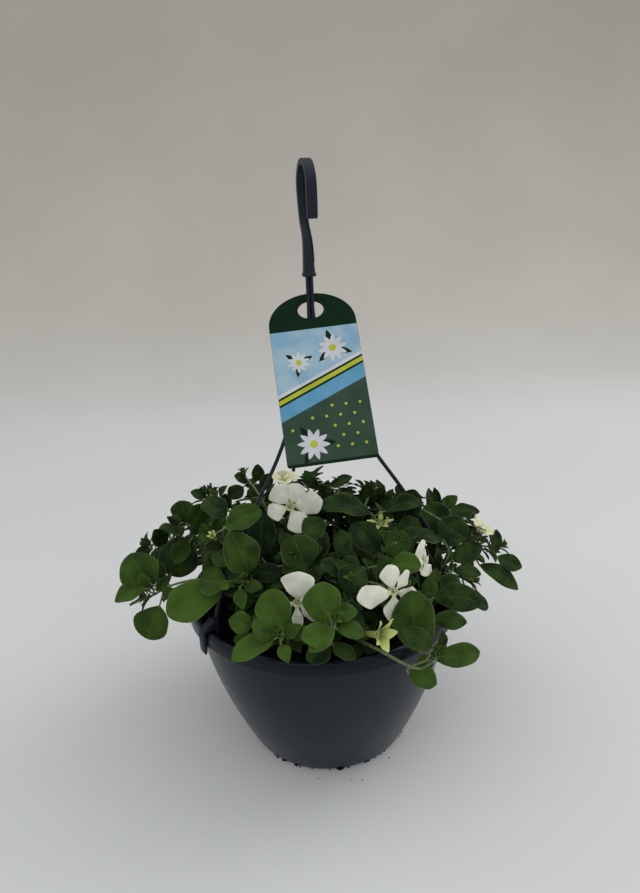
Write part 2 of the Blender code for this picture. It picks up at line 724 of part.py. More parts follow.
def join_limb(bm, corners, rings):
    """Carries a hole in the stem's side out through the limb's rings of four places."""
    orders = [[(k + step * i) % 4 for i in range(4)] for k in range(4) for step in (1, -1)]
    order = min(orders, key=lambda o: sum((corners[i].co - rings[0][o[i]]).length for i in range(4)))
    joined = [corners]
    for ring in rings:
        places = [ring[i] for i in order] if len(ring) == 4 else ring
        joined.append([bm.verts.new(place) for place in places])
    bridge_rings(bm, joined, start_cap=False)


def shoot_body(path, limbs):
    """The stem, with a limb grown out of its side at each (share, rings)."""
    half_node = 1.1 * MM / sum((b - a).length for a, b in zip(path, path[1:]))
    limbs = sorted(limbs, key=lambda limb: limb[0])
    shares = [0.0]
    for share, _ in limbs:
        shares += [share - half_node, share + half_node]
    shares = sorted(shares + [1.0])
    places = [point_on(path, min(share, 1.0))[0] for share in shares]
    sections = [circle(stem_radius(share), STEM_SIDES) for share in shares]
    bm = bmesh.new()
    rings = [[bm.verts.new(place) for place in ring] for ring in swept_rings(places, sections)]
    bridge_rings(bm, rings)
    for index, (_, limb_rings) in enumerate(limbs):
        lower, upper = rings[1 + 2 * index], rings[2 + 2 * index]
        towards = sum((Vector(place) for place in limb_rings[0]), Vector()) / 4
        join_limb(bm, facing_quad(bm, lower, upper, towards), limb_rings)
    return bm


def leaf_shares(shoot, taken):
    """Where leaves leave the stem: evenly, from a third of its length to near its tip."""
    for k in range(shoot.leaves):
        share = FIRST_LEAF + (LAST_LEAF - FIRST_LEAF) * k / (shoot.leaves - 1)
        while any(abs(share - other) < LEAF_SPACING for other in taken):
            share -= LEAF_SPACING
        taken.append(share)
        yield k, share


def make_shoots(space, finish):
    """Every stem and stalk first, then the leaves, each clear of what is there already."""
    stalks = {}
    for shoot in SHOOTS:
        path = shoot_path(shoot)
        own = [bloom for bloom in FLOWERS + BUDS if bloom.shoot == shoot.name]
        stalks[shoot.name] = [(bloom.share, stalk_rings(bloom, path)) for bloom in own]
        bodies = [tube(path, STEM_RADIUS, STEM_TIP_RADIUS, STEM_SIDES)]
        bodies += [body_of(rings) for _, rings in stalks[shoot.name]]
        for bm in bodies:
            met = space.meets(bm, but=[shoot.name] + [bloom.name for bloom in own])
            if met:
                raise ValueError(f"{shoot.name} crosses {met}")
            space.add(shoot.name, bm)
            bm.free()

    for shoot in SHOOTS:
        path = shoot_path(shoot)
        limbs = stalks[shoot.name]
        for k, share in leaf_shares(shoot, [share for share, _ in limbs]):
            base, along = point_on(path, share)
            heading = math.degrees(math.atan2(along.y, along.x))
            side = 80 - 45 * share
            azimuth = heading + (side if k % 2 else -side) + 12 * math.sin(GOLDEN_ANGLE * k)
            elevation = math.degrees(math.asin(along.z)) * 0.35 + 12 + 14 * math.cos(GOLDEN_ANGLE * k)
            length = shoot.size * CM * (1 - 0.45 * abs(share - 0.55) / 0.45)
            rings = fitting_leaf(space, shoot.name, base, azimuth, elevation, length)
            if rings is None:
                continue  # too crowded here for a leaf
            body = body_of(rings)
            space.add(shoot.name + " leaf", body)
            body.free()
            limbs = limbs + [(share, rings)]
        add_object(shoot.name, shoot_body(path, limbs), finish)


def main():
    clear_scene()
    finishes = {
        "pot": material("pot_plastic", (0.045, 0.050, 0.058), 0.45),
        "insert": material("insert_plastic", (0.03, 0.03, 0.03), 0.5),
        "hanger": material("hanger_plastic", (0.06, 0.065, 0.08), 0.42),
        "soil": material("soil", (0.025, 0.018, 0.012), 0.95),
        "tag": material("tag_card", (0.35, 0.48, 0.42), 0.4),
        "leaf": material("leaf", (0.06, 0.14, 0.04), 0.5),
        "petal": material("petal", (0.80, 0.80, 0.74), 0.6),
        "bud": material("bud", (0.55, 0.60, 0.15), 0.5),
    }
    solids = [
        make_pot(finishes["pot"]),
        make_reservoir_insert(finishes["insert"]),
        make_soil(finishes["soil"]),
        make_hook(finishes["hanger"]),
        make_tag(finishes["tag"]),
    ]
    solids += [make_rod(rod, finishes["hanger"]) for rod in RODS]
    space = Space()
    for solid in solids:
        bm = bmesh.new()
        bm.from_mesh(solid.data)
        space.add(solid.name, bm)
        bm.free()
    make_blooms(space, FLOWERS, corolla_rings, finishes["petal"])
    make_blooms(space, BUDS, bud_rings, finishes["bud"])
    make_shoots(space, finishes["leaf"])


main()
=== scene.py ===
"""The looks of the petunia hanging basket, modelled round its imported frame.

Lengths are in metres. +Z is up and the origin is the centre of the pot's base. Azimuths are in
degrees from +X towards +Y, and the tag faces -Y.
"""

import math
import random
from collections import namedtuple

import bmesh
import bpy
from mathutils import Matrix, Vector, noise
from mathutils.bvhtree import BVHTree


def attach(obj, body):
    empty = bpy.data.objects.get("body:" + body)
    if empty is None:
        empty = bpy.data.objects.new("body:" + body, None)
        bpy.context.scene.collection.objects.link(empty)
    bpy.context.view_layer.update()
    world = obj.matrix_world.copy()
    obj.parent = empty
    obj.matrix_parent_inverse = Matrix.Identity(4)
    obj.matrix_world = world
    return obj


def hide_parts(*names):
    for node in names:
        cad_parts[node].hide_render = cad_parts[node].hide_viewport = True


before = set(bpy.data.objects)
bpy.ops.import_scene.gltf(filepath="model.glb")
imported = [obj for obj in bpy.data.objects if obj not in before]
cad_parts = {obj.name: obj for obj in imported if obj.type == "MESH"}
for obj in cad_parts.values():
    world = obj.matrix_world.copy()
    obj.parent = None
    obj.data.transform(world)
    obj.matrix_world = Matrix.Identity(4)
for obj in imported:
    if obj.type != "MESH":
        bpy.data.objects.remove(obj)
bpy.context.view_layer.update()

MM = 0.001
CM = 0.01
UP = Vector((0, 0, 1))

# Pot, as in the frame
BASE_RADIUS = 81 * MM
BASE_THICKNESS = 2.4 * MM
BASE_RECESS = 0.6 * MM  # how far the base stands clear inside its foot ring
FOOT_RING = (62 * MM, 66 * MM)  # where the ring starts and where it touches the floor
NECK_RADIUS = 128 * MM
NECK_HEIGHT = 157 * MM
WALL_BULGE = 1.65  # 1 would make the wall a plain cone
WALL = 1.8 * MM
RIM_HEIGHT = 161 * MM
CREST_RADIUS = 130 * MM
SKIRT_RADIUS = 135 * MM
SKIRT_FOOT = 147.5 * MM
POT_SEGMENTS = 144
WALL_STEPS = 30

# Soil
SOIL_EDGE_HEIGHT = 139 * MM
SOIL_CROWN = 5 * MM
SOIL_FLOOR = 56.3 * MM  # just over the insert's plate
SOIL_GAP = 0.6 * MM  # between the soil and the wall
SOIL_SEGMENTS = 110
SOIL_CIRCLES = 42
CRUMBS = 620
FIBRES = 90

# Hanger, as in the frame
HOOK_PLANE = 282.5  # azimuth of the upright plane that the hook lies in
STRAP_WIDTH = 8 * MM
STRAP_THICKNESS = 3.6 * MM
STRAP_EDGE = 1.1 * MM  # width of the edges that stand on its inner face
STRAP_EDGE_RISE = 1.0 * MM
STRAP_CHANNEL = 2.0 * MM  # depth of the channel between the edges
STRAP_SOFT = 0.35 * MM  # how much its corners are cut
STRAP_ROOT = 16  # the steps in which it thins from the collar up
LOOP_RADIUS = 20.8 * MM
LOOP_CENTRE = (3 * MM, 533.8 * MM)  # along the hook's plane, and height
HOOK_END_HEIGHT = 509 * MM
COLLAR_FOOT = 461.5 * MM
COLLAR_TOP = 482 * MM
COLLAR_SIDE = 10.4 * MM
COLLAR_POINTS = 24
BORE_RADIUS = 3.95 * MM
BORE_DEPTH = 13 * MM
ROD_TOP_RADIUS = 1.6 * MM
ROD_FOOT_RADIUS = 1.9 * MM
ROD_FOOT_STEP = 1.6 * MM  # outwards, into the clip
CLIP_WIDTH = 8 * MM
# The rods' (radius, height) in mm, down from the collar. They part after the bundled ones.
ROD_STATIONS = (
    (2.05, 473), (2.05, 448), (2.2, 432), (4.0, 415), (8.5, 392), (17.5, 365), (30, 338),
    (48.5, 303), (75.5, 263), (99.5, 225), (115.5, 190), (122.0, 168), (122.6, 159),
)
BUNDLE_STATIONS = 3
# Each rod's azimuth in the bundle and at the rim, and how far it bows out of the common curve.
Rod = namedtuple("Rod", "name bundle_azimuth rim_azimuth bow")
RODS = (
    Rod("rod_left", 220, 216, -3.5 * MM),
    Rod("rod_right", 340, 355, 3.5 * MM),
    Rod("rod_back", 100, 109, 0.0),
)

# Tag, as in the frame, with its heights counted from the hole
TAG_WIDTH = 77 * MM
TAG_STRAIGHT_TOP = -13 * MM
TAG_FOOT = -140 * MM
TAG_DOME = 29 * MM
TAG_CORNER = 2.5 * MM
TAG_POINT_STEP = 4 * MM
TAG_HOLE = (11.5 * MM, 8.3 * MM)  # half its width and half its height
TAG_THICKNESS = 0.8 * MM
TAG_SOFT = 0.3 * MM  # how much its edges are cut
TAG_HOLE_HEIGHT = 432.5 * MM
# In degrees: how far it leans back from upright, turns about the upright and rolls in its plane
TAG_LEAN = 33.5
TAG_TURN = 1.5
TAG_ROLL = 4.8

# Print on the tag
INK = 0.03 * MM  # how far each layer of print stands over the one below
INK_SUNK = 0.01 * MM  # how far each layer of print reaches into the card
WHITE, SKY, LIME, GREEN, HAZE, MOSS = range(6)
INKS = (
    ("print_white", (0.56, 0.58, 0.60), (0.64, 0.66, 0.68)),
    ("print_blue", (0.10, 0.30, 0.46), (0.14, 0.36, 0.53)),
    ("print_lime", (0.42, 0.45, 0.03), (0.50, 0.53, 0.05)),
    ("print_green", (0.001, 0.016, 0.005), (0.002, 0.020, 0.007)),
    ("print_haze", (0.24, 0.42, 0.55), (0.38, 0.52, 0.60)),
    ("print_moss", (0.032, 0.062, 0.038), (0.044, 0.076, 0.050)),
)
GROUND_LAYER = 1
STRIPE_LAYER = 2
SPRIG_LAYER = 3
PETAL_LAYER = 5
EYE_LAYER = 9
STRIPE_RISE = 0.42  # the stripes climb this much for each step across
# Lower and upper edge in mm from the hole, at the middle of the card, and the ink
STRIPES = ((-63, -60, WHITE), (-69, -65, LIME), (-84, -71, SKY))
# Daisies: x and y in mm from the hole, reach in mm, and turn in degrees
DAISIES = ((14, -38, 13, 10), (-17, -48, 10, 50), (-14, -122, 14, 30))
DOT_RADIUS = 1.3 * MM

# Added to the tone that a blade's faces carry, on its underside
UNDERSIDE = 2.0

# ---------------------------------------------------------------- small tools


def polar(azimuth, radius, height):
    angle = math.radians(azimuth)
    return Vector((radius * math.cos(angle), radius * math.sin(angle), height))


def direction(azimuth, elevation):
    return polar(azimuth, math.cos(math.radians(elevation)), math.sin(math.radians(elevation)))


def smooth_path(points, per_span):
    """A Catmull-Rom curve through the points."""
    points = [Vector(p) for p in points]
    ends = [2 * points[0] - points[1], *points, 2 * points[-1] - points[-2]]
    path = []
    for a, b, c, d in zip(ends, ends[1:], ends[2:], ends[3:]):
        for step in range(per_span):
            t = step / per_span
            curve = 2 * b + (c - a) * t + (2 * a - 5 * b + 4 * c - d) * t**2 + (3 * b - a - 3 * c + d) * t**3
            path.append(curve / 2)
    path.append(points[-1])
    return path


def point_on(path, share):
    """The point at a share of a path's length, and the path's direction there."""
    lengths = [(b - a).length for a, b in zip(path, path[1:])]
    left = share * sum(lengths)
    for a, b, length in zip(path, path[1:], lengths):
        if left <= length:
            return a.lerp(b, left / length), (b - a).normalized()
        left -= length
    return path[-1].copy(), (path[-1] - path[-2]).normalized()


def level_ring(radius, height, segments):
    return [polar(360 * k / segments, radius, height) for k in range(segments)]


def circle(radius, sides):
    angles = [math.tau * k / sides for k in range(sides)]
    return [(radius * math.cos(angle), radius * math.sin(angle)) for angle in angles]


def swept(path, sections, normal=None):
    """Places of outlines, each a list of (across, up) offsets, carried along a path."""
    if normal is None:
        start = (path[1] - path[0]).normalized()
        normal = UP if abs(start.z) < 0.9 else Vector((1, 0, 0))
    rings = []
    for i, point in enumerate(path):
        ahead = (path[min(i + 1, len(path) - 1)] - path[max(i - 1, 0)]).normalized()
        normal = (normal - normal.dot(ahead) * ahead).normalized()
        across = ahead.cross(normal)
        rings.append([point + a * across + u * normal for a, u in sections[i]])
    return rings


class Sheaf:
    """Gathers the faces of one piece. Each place keeps a mark (across, along, tone) for its material:
    across and along run from 0 to 1 over a blade, and tone has UNDERSIDE added on its underside."""

    def __init__(self):
        self.places = []
        self.marks = []
        self.faces = []
        self.slots = []

    def point(self, place, mark):
        self.places.append(place)
        self.marks.append(mark)
        return len(self.places) - 1

    def face(self, corners, slot):
        corners = list(dict.fromkeys(corners))
        if len(corners) > 2:
            self.faces.append(corners)
            self.slots.append(slot)

    def rings(self, rings, slot=0, tone=0.5, caps=True, alongs=None):
        """A tube through rings of equally many places. A ring of one place is a point."""
        alongs = alongs or [i / (len(rings) - 1) for i in range(len(rings))]
        made = []
        for ring, along in zip(rings, alongs):
            marks = [(k / len(ring), along, tone) for k in range(len(ring))]
            made.append([self.point(place, mark) for place, mark in zip(ring, marks)])
        for lower, upper in zip(made, made[1:]):
            count = max(len(lower), len(upper))
            for i in range(count):
                j = (i + 1) % count
                corners = [lower[i % len(lower)], lower[j % len(lower)]]
                corners += [upper[j % len(upper)], upper[i % len(upper)]]
                self.face(corners, slot)
        if caps:
            self.face(made[0][::-1], slot)
            self.face(made[-1], slot)

    def tube(self, path, radii, sides, slot=0, tone=0.5):
        sections = [circle(radius, sides) for radius in radii]
        self.rings(swept(path, sections), slot, tone)

    def blade(self, blade, slot, tone):
        """A thin closed sheet: two grids that share their edges and run to one tip."""
        columns = len(blade.top[0])
        upper = []
        lower = []
        for along, tops, bottoms in zip(blade.alongs, blade.top, blade.bottom):
            over = []
            under = []
            for j in range(columns):
                across = j / (columns - 1)
                over.append(self.point(tops[j], (across, along, tone)))
                edge = not upper or j in (0, columns - 1)
                mark = (across, along, tone + UNDERSIDE)
                under.append(over[-1] if edge else self.point(bottoms[j], mark))
            upper.append(over)
            lower.append(under)
        end = self.point(blade.tip, (0.5, 1.0, tone))
        for grid, step in ((upper, 1), (lower, -1)):
            for near, far in zip(grid, grid[1:]):
                for j in range(columns - 1):
                    self.face([near[j], near[j + 1], far[j + 1], far[j]][::step], slot)
            for j in range(columns - 1):
                self.face([grid[-1][j], grid[-1][j + 1], end][::step], slot)

    def add_mesh(self, bm, slot=0, tone=0.5):
        """Takes over the faces of a bmesh, and frees it."""
        bm.verts.index_update()
        start = len(self.places)
        for vertex in bm.verts:
            self.point(vertex.co.copy(), (0.5, 0.5, tone))
        for face in bm.faces:
            self.face([start + vertex.index for vertex in face.verts], slot)
        bm.free()

    def piece(self, name, finishes, sharp=40):
        mesh = bpy.data.meshes.new(name)
        mesh.from_pydata([tuple(place) for place in self.places], [], self.faces)
        for finish in finishes:
            mesh.materials.append(finish)
        mesh.polygons.foreach_set("material_index", self.slots)
        marks = mesh.attributes.new("blade", "FLOAT_VECTOR", "POINT")
        marks.data.foreach_set("vector", [number for mark in self.marks for number in mark])
        mesh.shade_smooth()
        mesh.set_sharp_from_angle(angle=math.radians(sharp))
        thing = bpy.data.objects.new(name, mesh)
        bpy.context.collection.objects.link(thing)
        return thing


def stands_for(piece, slot, *nodes):
    """Puts a piece on the root body, in the place of the CAD nodes that are named, which it hides. slot is
    not used.
    """
    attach(piece, "root")
    if nodes:
        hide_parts(*nodes)


# ---------------------------------------------------------------- materials


class Finish:
    """A Principled material and short ways to wire its nodes."""

    def __init__(self, name, roughness, specular):
        self.material = bpy.data.materials.new(name)
        self.material.use_nodes = True
        self.tree = self.material.node_tree
        self.shader = self.tree.nodes["Principled BSDF"]
        self.shader.inputs["Roughness"].default_value = roughness
        self.shader.inputs["Specular IOR Level"].default_value = specular

    def node(self, kind, inputs, **settings):
        made = self.tree.nodes.new(kind)
        for name, value in settings.items():
            setattr(made, name, value)
        for name, value in inputs.items():
            if isinstance(value, bpy.types.NodeSocket):
                self.tree.links.new(value, made.inputs[name])
            else:
                made.inputs[name].default_value = value
        return made

    def calc(self, operation, a, b=0.0, clamp=False):
        return self.node("ShaderNodeMath", {0: a, 1: b}, operation=operation, use_clamp=clamp).outputs[0]

    def times(self, a, b):
        return self.calc("MULTIPLY", a, b)

    def fade(self, value, start, end, low=0.0, high=1.0):
        """low where value is at start or before, high from end on, smooth between."""
        inputs = {"Value": value, "From Min": start, "From Max": end, "To Min": low, "To Max": high}
        made = self.node("ShaderNodeMapRange", inputs, interpolation_type="SMOOTHSTEP")
        return made.outputs["Result"]

    def mix(self, share, a, b):
        made = self.node("ShaderNodeMix", {}, data_type="RGBA")
        for socket, value in ((0, share), (6, a), (7, b)):
            if isinstance(value, bpy.types.NodeSocket):
                self.tree.links.new(value, made.inputs[socket])
            elif isinstance(value, tuple):
                made.inputs[socket].default_value = (*value, 1.0)
            else:
                made.inputs[socket].default_value = value
        return made.outputs[2]

    def place(self):
        return self.node("ShaderNodeTexCoord", {}).outputs["Object"]

    def noise(self, scale, detail=3.0, distortion=0.0):
        inputs = {"Scale": scale, "Detail": detail, "Distortion": distortion}
        inputs["Vector"] = self.place()
        return self.node("ShaderNodeTexNoise", inputs).outputs["Fac"]

    def marks(self):
        """The blade's across, along and tone."""
        mark = self.node("ShaderNodeAttribute", {}, attribute_name="blade")
        parts = self.node("ShaderNodeSeparateXYZ", {"Vector": mark.outputs["Vector"]})
        return parts.outputs[0], parts.outputs[1], parts.outputs[2]

    def colour(self, value):
        self.tree.links.new(value, self.shader.inputs["Base Color"])

    def roughness(self, value):
        self.tree.links.new(value, self.shader.inputs["Roughness"])

    def bump(self, height, distance, strength):
        inputs = {"Height": height, "Distance": distance, "Strength": strength}
        made = self.node("ShaderNodeBump", inputs)
        self.tree.links.new(made.outputs["Normal"], self.shader.inputs["Normal"])

    def sheen(self, weight, roughness, tint):
        self.shader.inputs["Sheen Weight"].default_value = weight
        self.shader.inputs["Sheen Roughness"].default_value = roughness
        self.shader.inputs["Sheen Tint"].default_value = (*tint, 1.0)


def moulded_plastic(name, colour, dusty, roughness, painted_rim_shade=0.0):
    """Fine-grained plastic with faint flow marks, and dust near the floor where dusty says how much.
    Its last argument says how far it fades, at the height of the pot's rim, to a darker colour that is
    painted shade of the leaves above."""
    finish = Finish(name, roughness, 0.27)
    finish.shader.inputs["Specular Tint"].default_value = (0.86, 0.97, 1.0, 1.0)
    clouds = finish.noise(14.0, 4.0, 0.4)
    lighter = tuple(1.12 * part + 0.0004 for part in colour)
    tinted = finish.mix(finish.fade(clouds, 0.35, 0.7), colour, lighter)
    height = finish.node("ShaderNodeSeparateXYZ", {"Vector": finish.place()}).outputs[2]
    # Painted shade: from 143 to 150 mm up the colour fades to 35 % of itself, the leaves' shade on the rim.
    darker = tuple(0.35 * part for part in colour)
    tinted = finish.mix(finish.fade(height, 143 * MM, 150 * MM, 0.0, painted_rim_shade), tinted, darker)
    specks = finish.fade(finish.noise(900.0, 2.0), 0.66, 0.74)
    dust = finish.times(specks, finish.fade(height, 100 * MM, 0.0, 0.04, dusty))
    finish.colour(finish.mix(dust, tinted, (0.07, 0.055, 0.04)))
    finish.roughness(finish.fade(finish.noise(30.0), 0.3, 0.75, roughness - 0.02, roughness + 0.03))
    finish.bump(finish.noise(2600.0, 2.0), 0.04 * MM, 0.4)
    return finish.material


def leaf_finish(name, dark, bright, vein):
    """Soft green with sunken veins, a pale edge that is a painted highlight, and a paler underside."""
    finish = Finish(name, 0.62, 0.09)
    pale = (0.15, 0.20, 0.10)
    across, along, mark = finish.marks()
    under = finish.calc("GREATER_THAN", mark, UNDERSIDE - 0.5)
    tone = finish.calc("SUBTRACT", mark, finish.times(under, UNDERSIDE))
    out = finish.calc("ABSOLUTE", finish.calc("SUBTRACT", finish.times(across, 2.0), 1.0))
    midrib = finish.fade(out, 0.09, 0.0)
    slant = finish.calc("SUBTRACT", finish.times(along, 6.5), finish.times(out, 1.7))
    side_veins = finish.fade(finish.calc("PINGPONG", slant, 0.5), 0.07, 0.0, 0.0, 0.7)
    side_veins = finish.times(side_veins, finish.fade(out, 0.98, 0.5))
    veins = finish.calc("MAXIMUM", midrib, side_veins)
    clouds = finish.noise(70.0)
    fine = finish.noise(1500.0, 2.0)
    shade = finish.calc("ADD", tone, finish.fade(clouds, 0.3, 0.7, -0.22, 0.22), True)
    top = finish.mix(shade, dark, bright)
    top = finish.mix(finish.times(veins, 0.22), top, vein)
    bottom = finish.mix(shade, (0.040, 0.072, 0.026), (0.085, 0.125, 0.050))
    bottom = finish.mix(finish.times(veins, 0.5), bottom, pale)
    both = finish.mix(under, top, bottom)
    # Painted highlight: the outermost edge turns pale, for light catching the margins.
    both = finish.mix(finish.fade(out, 0.94, 1.0, 0.0, 0.6), both, pale)
    finish.colour(finish.mix(finish.fade(fine, 0.45, 0.8, 0.0, 0.06), both, (0.16, 0.2, 0.11)))
    finish.bump(finish.calc("SUBTRACT", finish.times(fine, 0.25), veins), 0.35 * MM, 0.6)
    finish.roughness(finish.fade(fine, 0.3, 0.7, 0.52, 0.66))
    finish.sheen(0.05, 0.4, (0.75, 0.85, 0.62))
    return finish.material


def stem_finish():
    """Green with pale streaks, darker and a little browner at a stem's foot."""
    finish = Finish("stem_skin", 0.55, 0.4)
    along = finish.marks()[1]
    streaks = finish.noise(260.0, 3.0, 0.5)
    base = finish.mix(along, (0.075, 0.095, 0.035), (0.11, 0.17, 0.045))
    finish.colour(finish.mix(finish.fade(streaks, 0.4, 0.7), base, (0.17, 0.21, 0.09)))
    finish.bump(streaks, 0.2 * MM, 0.5)
    finish.sheen(0.35, 0.4, (0.85, 0.9, 0.75))
    return finish.material


def petal_finish(name, low, high):
    """Creased along its length, with a yellow-green throat and a greener back."""
    finish = Finish(name, 0.6, 0.15)
    across, along, mark = finish.marks()
    under = finish.calc("GREATER_THAN", mark, UNDERSIDE - 0.5)
    clouds = finish.noise(120.0)
    creases = finish.fade(finish.calc("PINGPONG", finish.times(across, 7.0), 0.5), 0.09, 0.0)
    creases = finish.times(creases, finish.fade(along, 0.95, 0.1))
    white = finish.mix(finish.fade(clouds, 0.35, 0.7), low, high)
    white = finish.mix(finish.times(creases, 0.16), white, (0.55, 0.60, 0.40))
    white = finish.mix(finish.fade(along, 0.22, 0.0, 0.0, 0.85), white, (0.46, 0.50, 0.14))
    finish.colour(finish.mix(finish.times(under, 0.3), white, (0.62, 0.66, 0.48)))
    finish.bump(finish.calc("SUBTRACT", finish.times(clouds, 0.4), creases), 0.3 * MM, 0.6)
    finish.sheen(0.15, 0.5, (1.0, 1.0, 0.95))
    return finish.material


def lime_finish():
    """Young corolla: green at its foot, lime to pale yellow at its points."""
    finish = Finish("petal_lime", 0.55, 0.3)
    across, along, _ = finish.marks()
    ribs = finish.fade(finish.calc("PINGPONG", finish.times(across, 5.0), 0.5), 0.12, 0.0)
    base = finish.mix(finish.fade(along, 0.0, 0.6), (0.16, 0.20, 0.03), (0.55, 0.60, 0.17))
    base = finish.mix(finish.fade(along, 0.6, 1.0), base, (0.76, 0.78, 0.42))
    finish.colour(finish.mix(finish.times(ribs, 0.35), base, (0.30, 0.36, 0.06)))
    finish.bump(finish.times(ribs, -1.0), 0.3 * MM, 0.6)
    finish.sheen(0.3, 0.4, (0.95, 1.0, 0.8))
    return finish.material


def soil_finish():
    """Dark peat, lumpy, with paler grains."""
    finish = Finish("peat", 0.95, 0.12)
    lumps = finish.noise(160.0, 6.0, 0.6)
    grains = finish.noise(900.0, 4.0)
    dark = finish.mix(finish.fade(lumps, 0.3, 0.75), (0.004, 0.0035, 0.003), (0.020, 0.014, 0.009))
    finish.colour(finish.mix(finish.fade(grains, 0.6, 0.75, 0.0, 0.6), dark, (0.055, 0.036, 0.02)))
    finish.bump(finish.calc("ADD", lumps, finish.times(grains, 0.5)), 2.0 * MM, 0.9)
    return finish.material


def printed_finish(name, low, high, roughness=0.36):
    """Varnished print with the faint unevenness of ink on card."""
    finish = Finish(name, roughness, 0.09)
    finish.colour(finish.mix(finish.fade(finish.noise(55.0, 2.0), 0.3, 0.7), low, high))
    finish.roughness(finish.fade(finish.noise(30.0), 0.3, 0.7, roughness - 0.05, roughness + 0.08))
    finish.bump(finish.noise(1400.0, 2.0), 0.02 * MM, 0.4)
    return finish.material


def stage_finish():
    """Plain pale floor, warmer and a little darker towards where the sweep rises."""
    finish = Finish("pale_sweep", 0.8, 0.2)
    clouds = finish.fade(finish.noise(2.2), 0.3, 0.7)
    back = finish.node("ShaderNodeSeparateXYZ", {"Vector": finish.place()}).outputs[1]
    floor = finish.mix(clouds, (0.665, 0.67, 0.665), (0.685, 0.69, 0.68))
    wall = finish.mix(clouds, (0.56, 0.525, 0.465), (0.59, 0.555, 0.495))
    finish.colour(finish.mix(finish.fade(back, 0.9, 2.4), floor, wall))
    return finish.material


# ---------------------------------------------------------------- pot and soil


def wall_radius(height):
    """Outer radius of the pot's wall."""
    rise = min(max(height / NECK_HEIGHT, 0.0), 1.0)
    return BASE_RADIUS + (NECK_RADIUS - BASE_RADIUS) * (1 - (1 - rise) ** WALL_BULGE)


def inner_radius(height):
    return wall_radius(height) - WALL


def lathe(sheaf, profile, segments):
    """Turns a profile of (radius, height) about Z. Its first and last points are on the axis."""
    rings = []
    for radius, height in profile:
        rings.append(level_ring(radius, height, segments) if radius else [Vector((0, 0, height))])
    sheaf.rings(rings)


def make_pot(finish):
    """The shell: a rolled foot, a bulging wall, and a rim whose skirt turns down outside."""
    foot = [(0, BASE_RECESS), (FOOT_RING[0], BASE_RECESS), (FOOT_RING[1], 0), (BASE_RADIUS - 3 * MM, 0)]
    foot += [(BASE_RADIUS - 0.9 * MM, 0.5 * MM), (BASE_RADIUS + 0.5 * MM, 1.8 * MM)]
    heights = [NECK_HEIGHT * k / WALL_STEPS for k in range(1, WALL_STEPS + 1)]
    outside = [(wall_radius(height), height) for height in heights]
    rim = [
        (SKIRT_RADIUS - 3.6 * MM, NECK_HEIGHT + 0.6 * MM),
        (SKIRT_RADIUS - 2.2 * MM, NECK_HEIGHT - 0.6 * MM),
        (SKIRT_RADIUS - 1.5 * MM, SKIRT_FOOT + 0.6 * MM),
        (SKIRT_RADIUS - 1.0 * MM, SKIRT_FOOT),
        (SKIRT_RADIUS - 0.3 * MM, SKIRT_FOOT + 0.1 * MM),
        (SKIRT_RADIUS, SKIRT_FOOT + 0.7 * MM),
        (SKIRT_RADIUS - 0.1 * MM, SKIRT_FOOT + 3 * MM),
        (SKIRT_RADIUS - 0.5 * MM, SKIRT_FOOT + 7 * MM),
        (SKIRT_RADIUS - 1.0 * MM, SKIRT_FOOT + 10 * MM),
        (SKIRT_RADIUS - 2.0 * MM, RIM_HEIGHT - 1.4 * MM),
        (SKIRT_RADIUS - 3.2 * MM, RIM_HEIGHT - 0.3 * MM),
        (CREST_RADIUS + 0.4 * MM, RIM_HEIGHT),
        (CREST_RADIUS - 1.0 * MM, RIM_HEIGHT - 0.1 * MM),
        (CREST_RADIUS - 2.4 * MM, RIM_HEIGHT - 0.9 * MM),
        (CREST_RADIUS - 3.2 * MM, RIM_HEIGHT - 2.6 * MM),
    ]
    inside = [(inner_radius(height), height) for height in reversed(heights[:-1])]
    inside += [(BASE_RADIUS - 3 * MM, BASE_THICKNESS), (0, BASE_THICKNESS)]
    sheaf = Sheaf()
    lathe(sheaf, foot + outside + rim + inside, POT_SEGMENTS)
    stands_for(sheaf.piece("pot_shell", [finish], sharp=50), "pot_plastic", "pot")


def soil_height(x, y):
    """A low crown with lumps and hollows."""
    away = min(math.hypot(x, y) / inner_radius(SOIL_EDGE_HEIGHT), 1.0)
    lumps = noise.noise(Vector((x, y, 0)) * 70) + 0.6 * noise.noise(Vector((x, y, 0.3)) * 210)
    return SOIL_EDGE_HEIGHT + SOIL_CROWN * (1 - away**2) + 2.4 * MM * lumps * (1 - away**6)


def crumb(sheaf, place, size, rng, tone):
    """A small irregular lump."""
    bm = bmesh.new()
    bmesh.ops.create_icosphere(bm, subdivisions=1, radius=size)
    stretch = Vector((rng.uniform(0.7, 1.3), rng.uniform(0.7, 1.3), rng.uniform(0.5, 0.9)))
    for vertex in bm.verts:
        vertex.co = vertex.co * stretch * rng.uniform(0.75, 1.2) + place
    sheaf.add_mesh(bm, 0, tone)


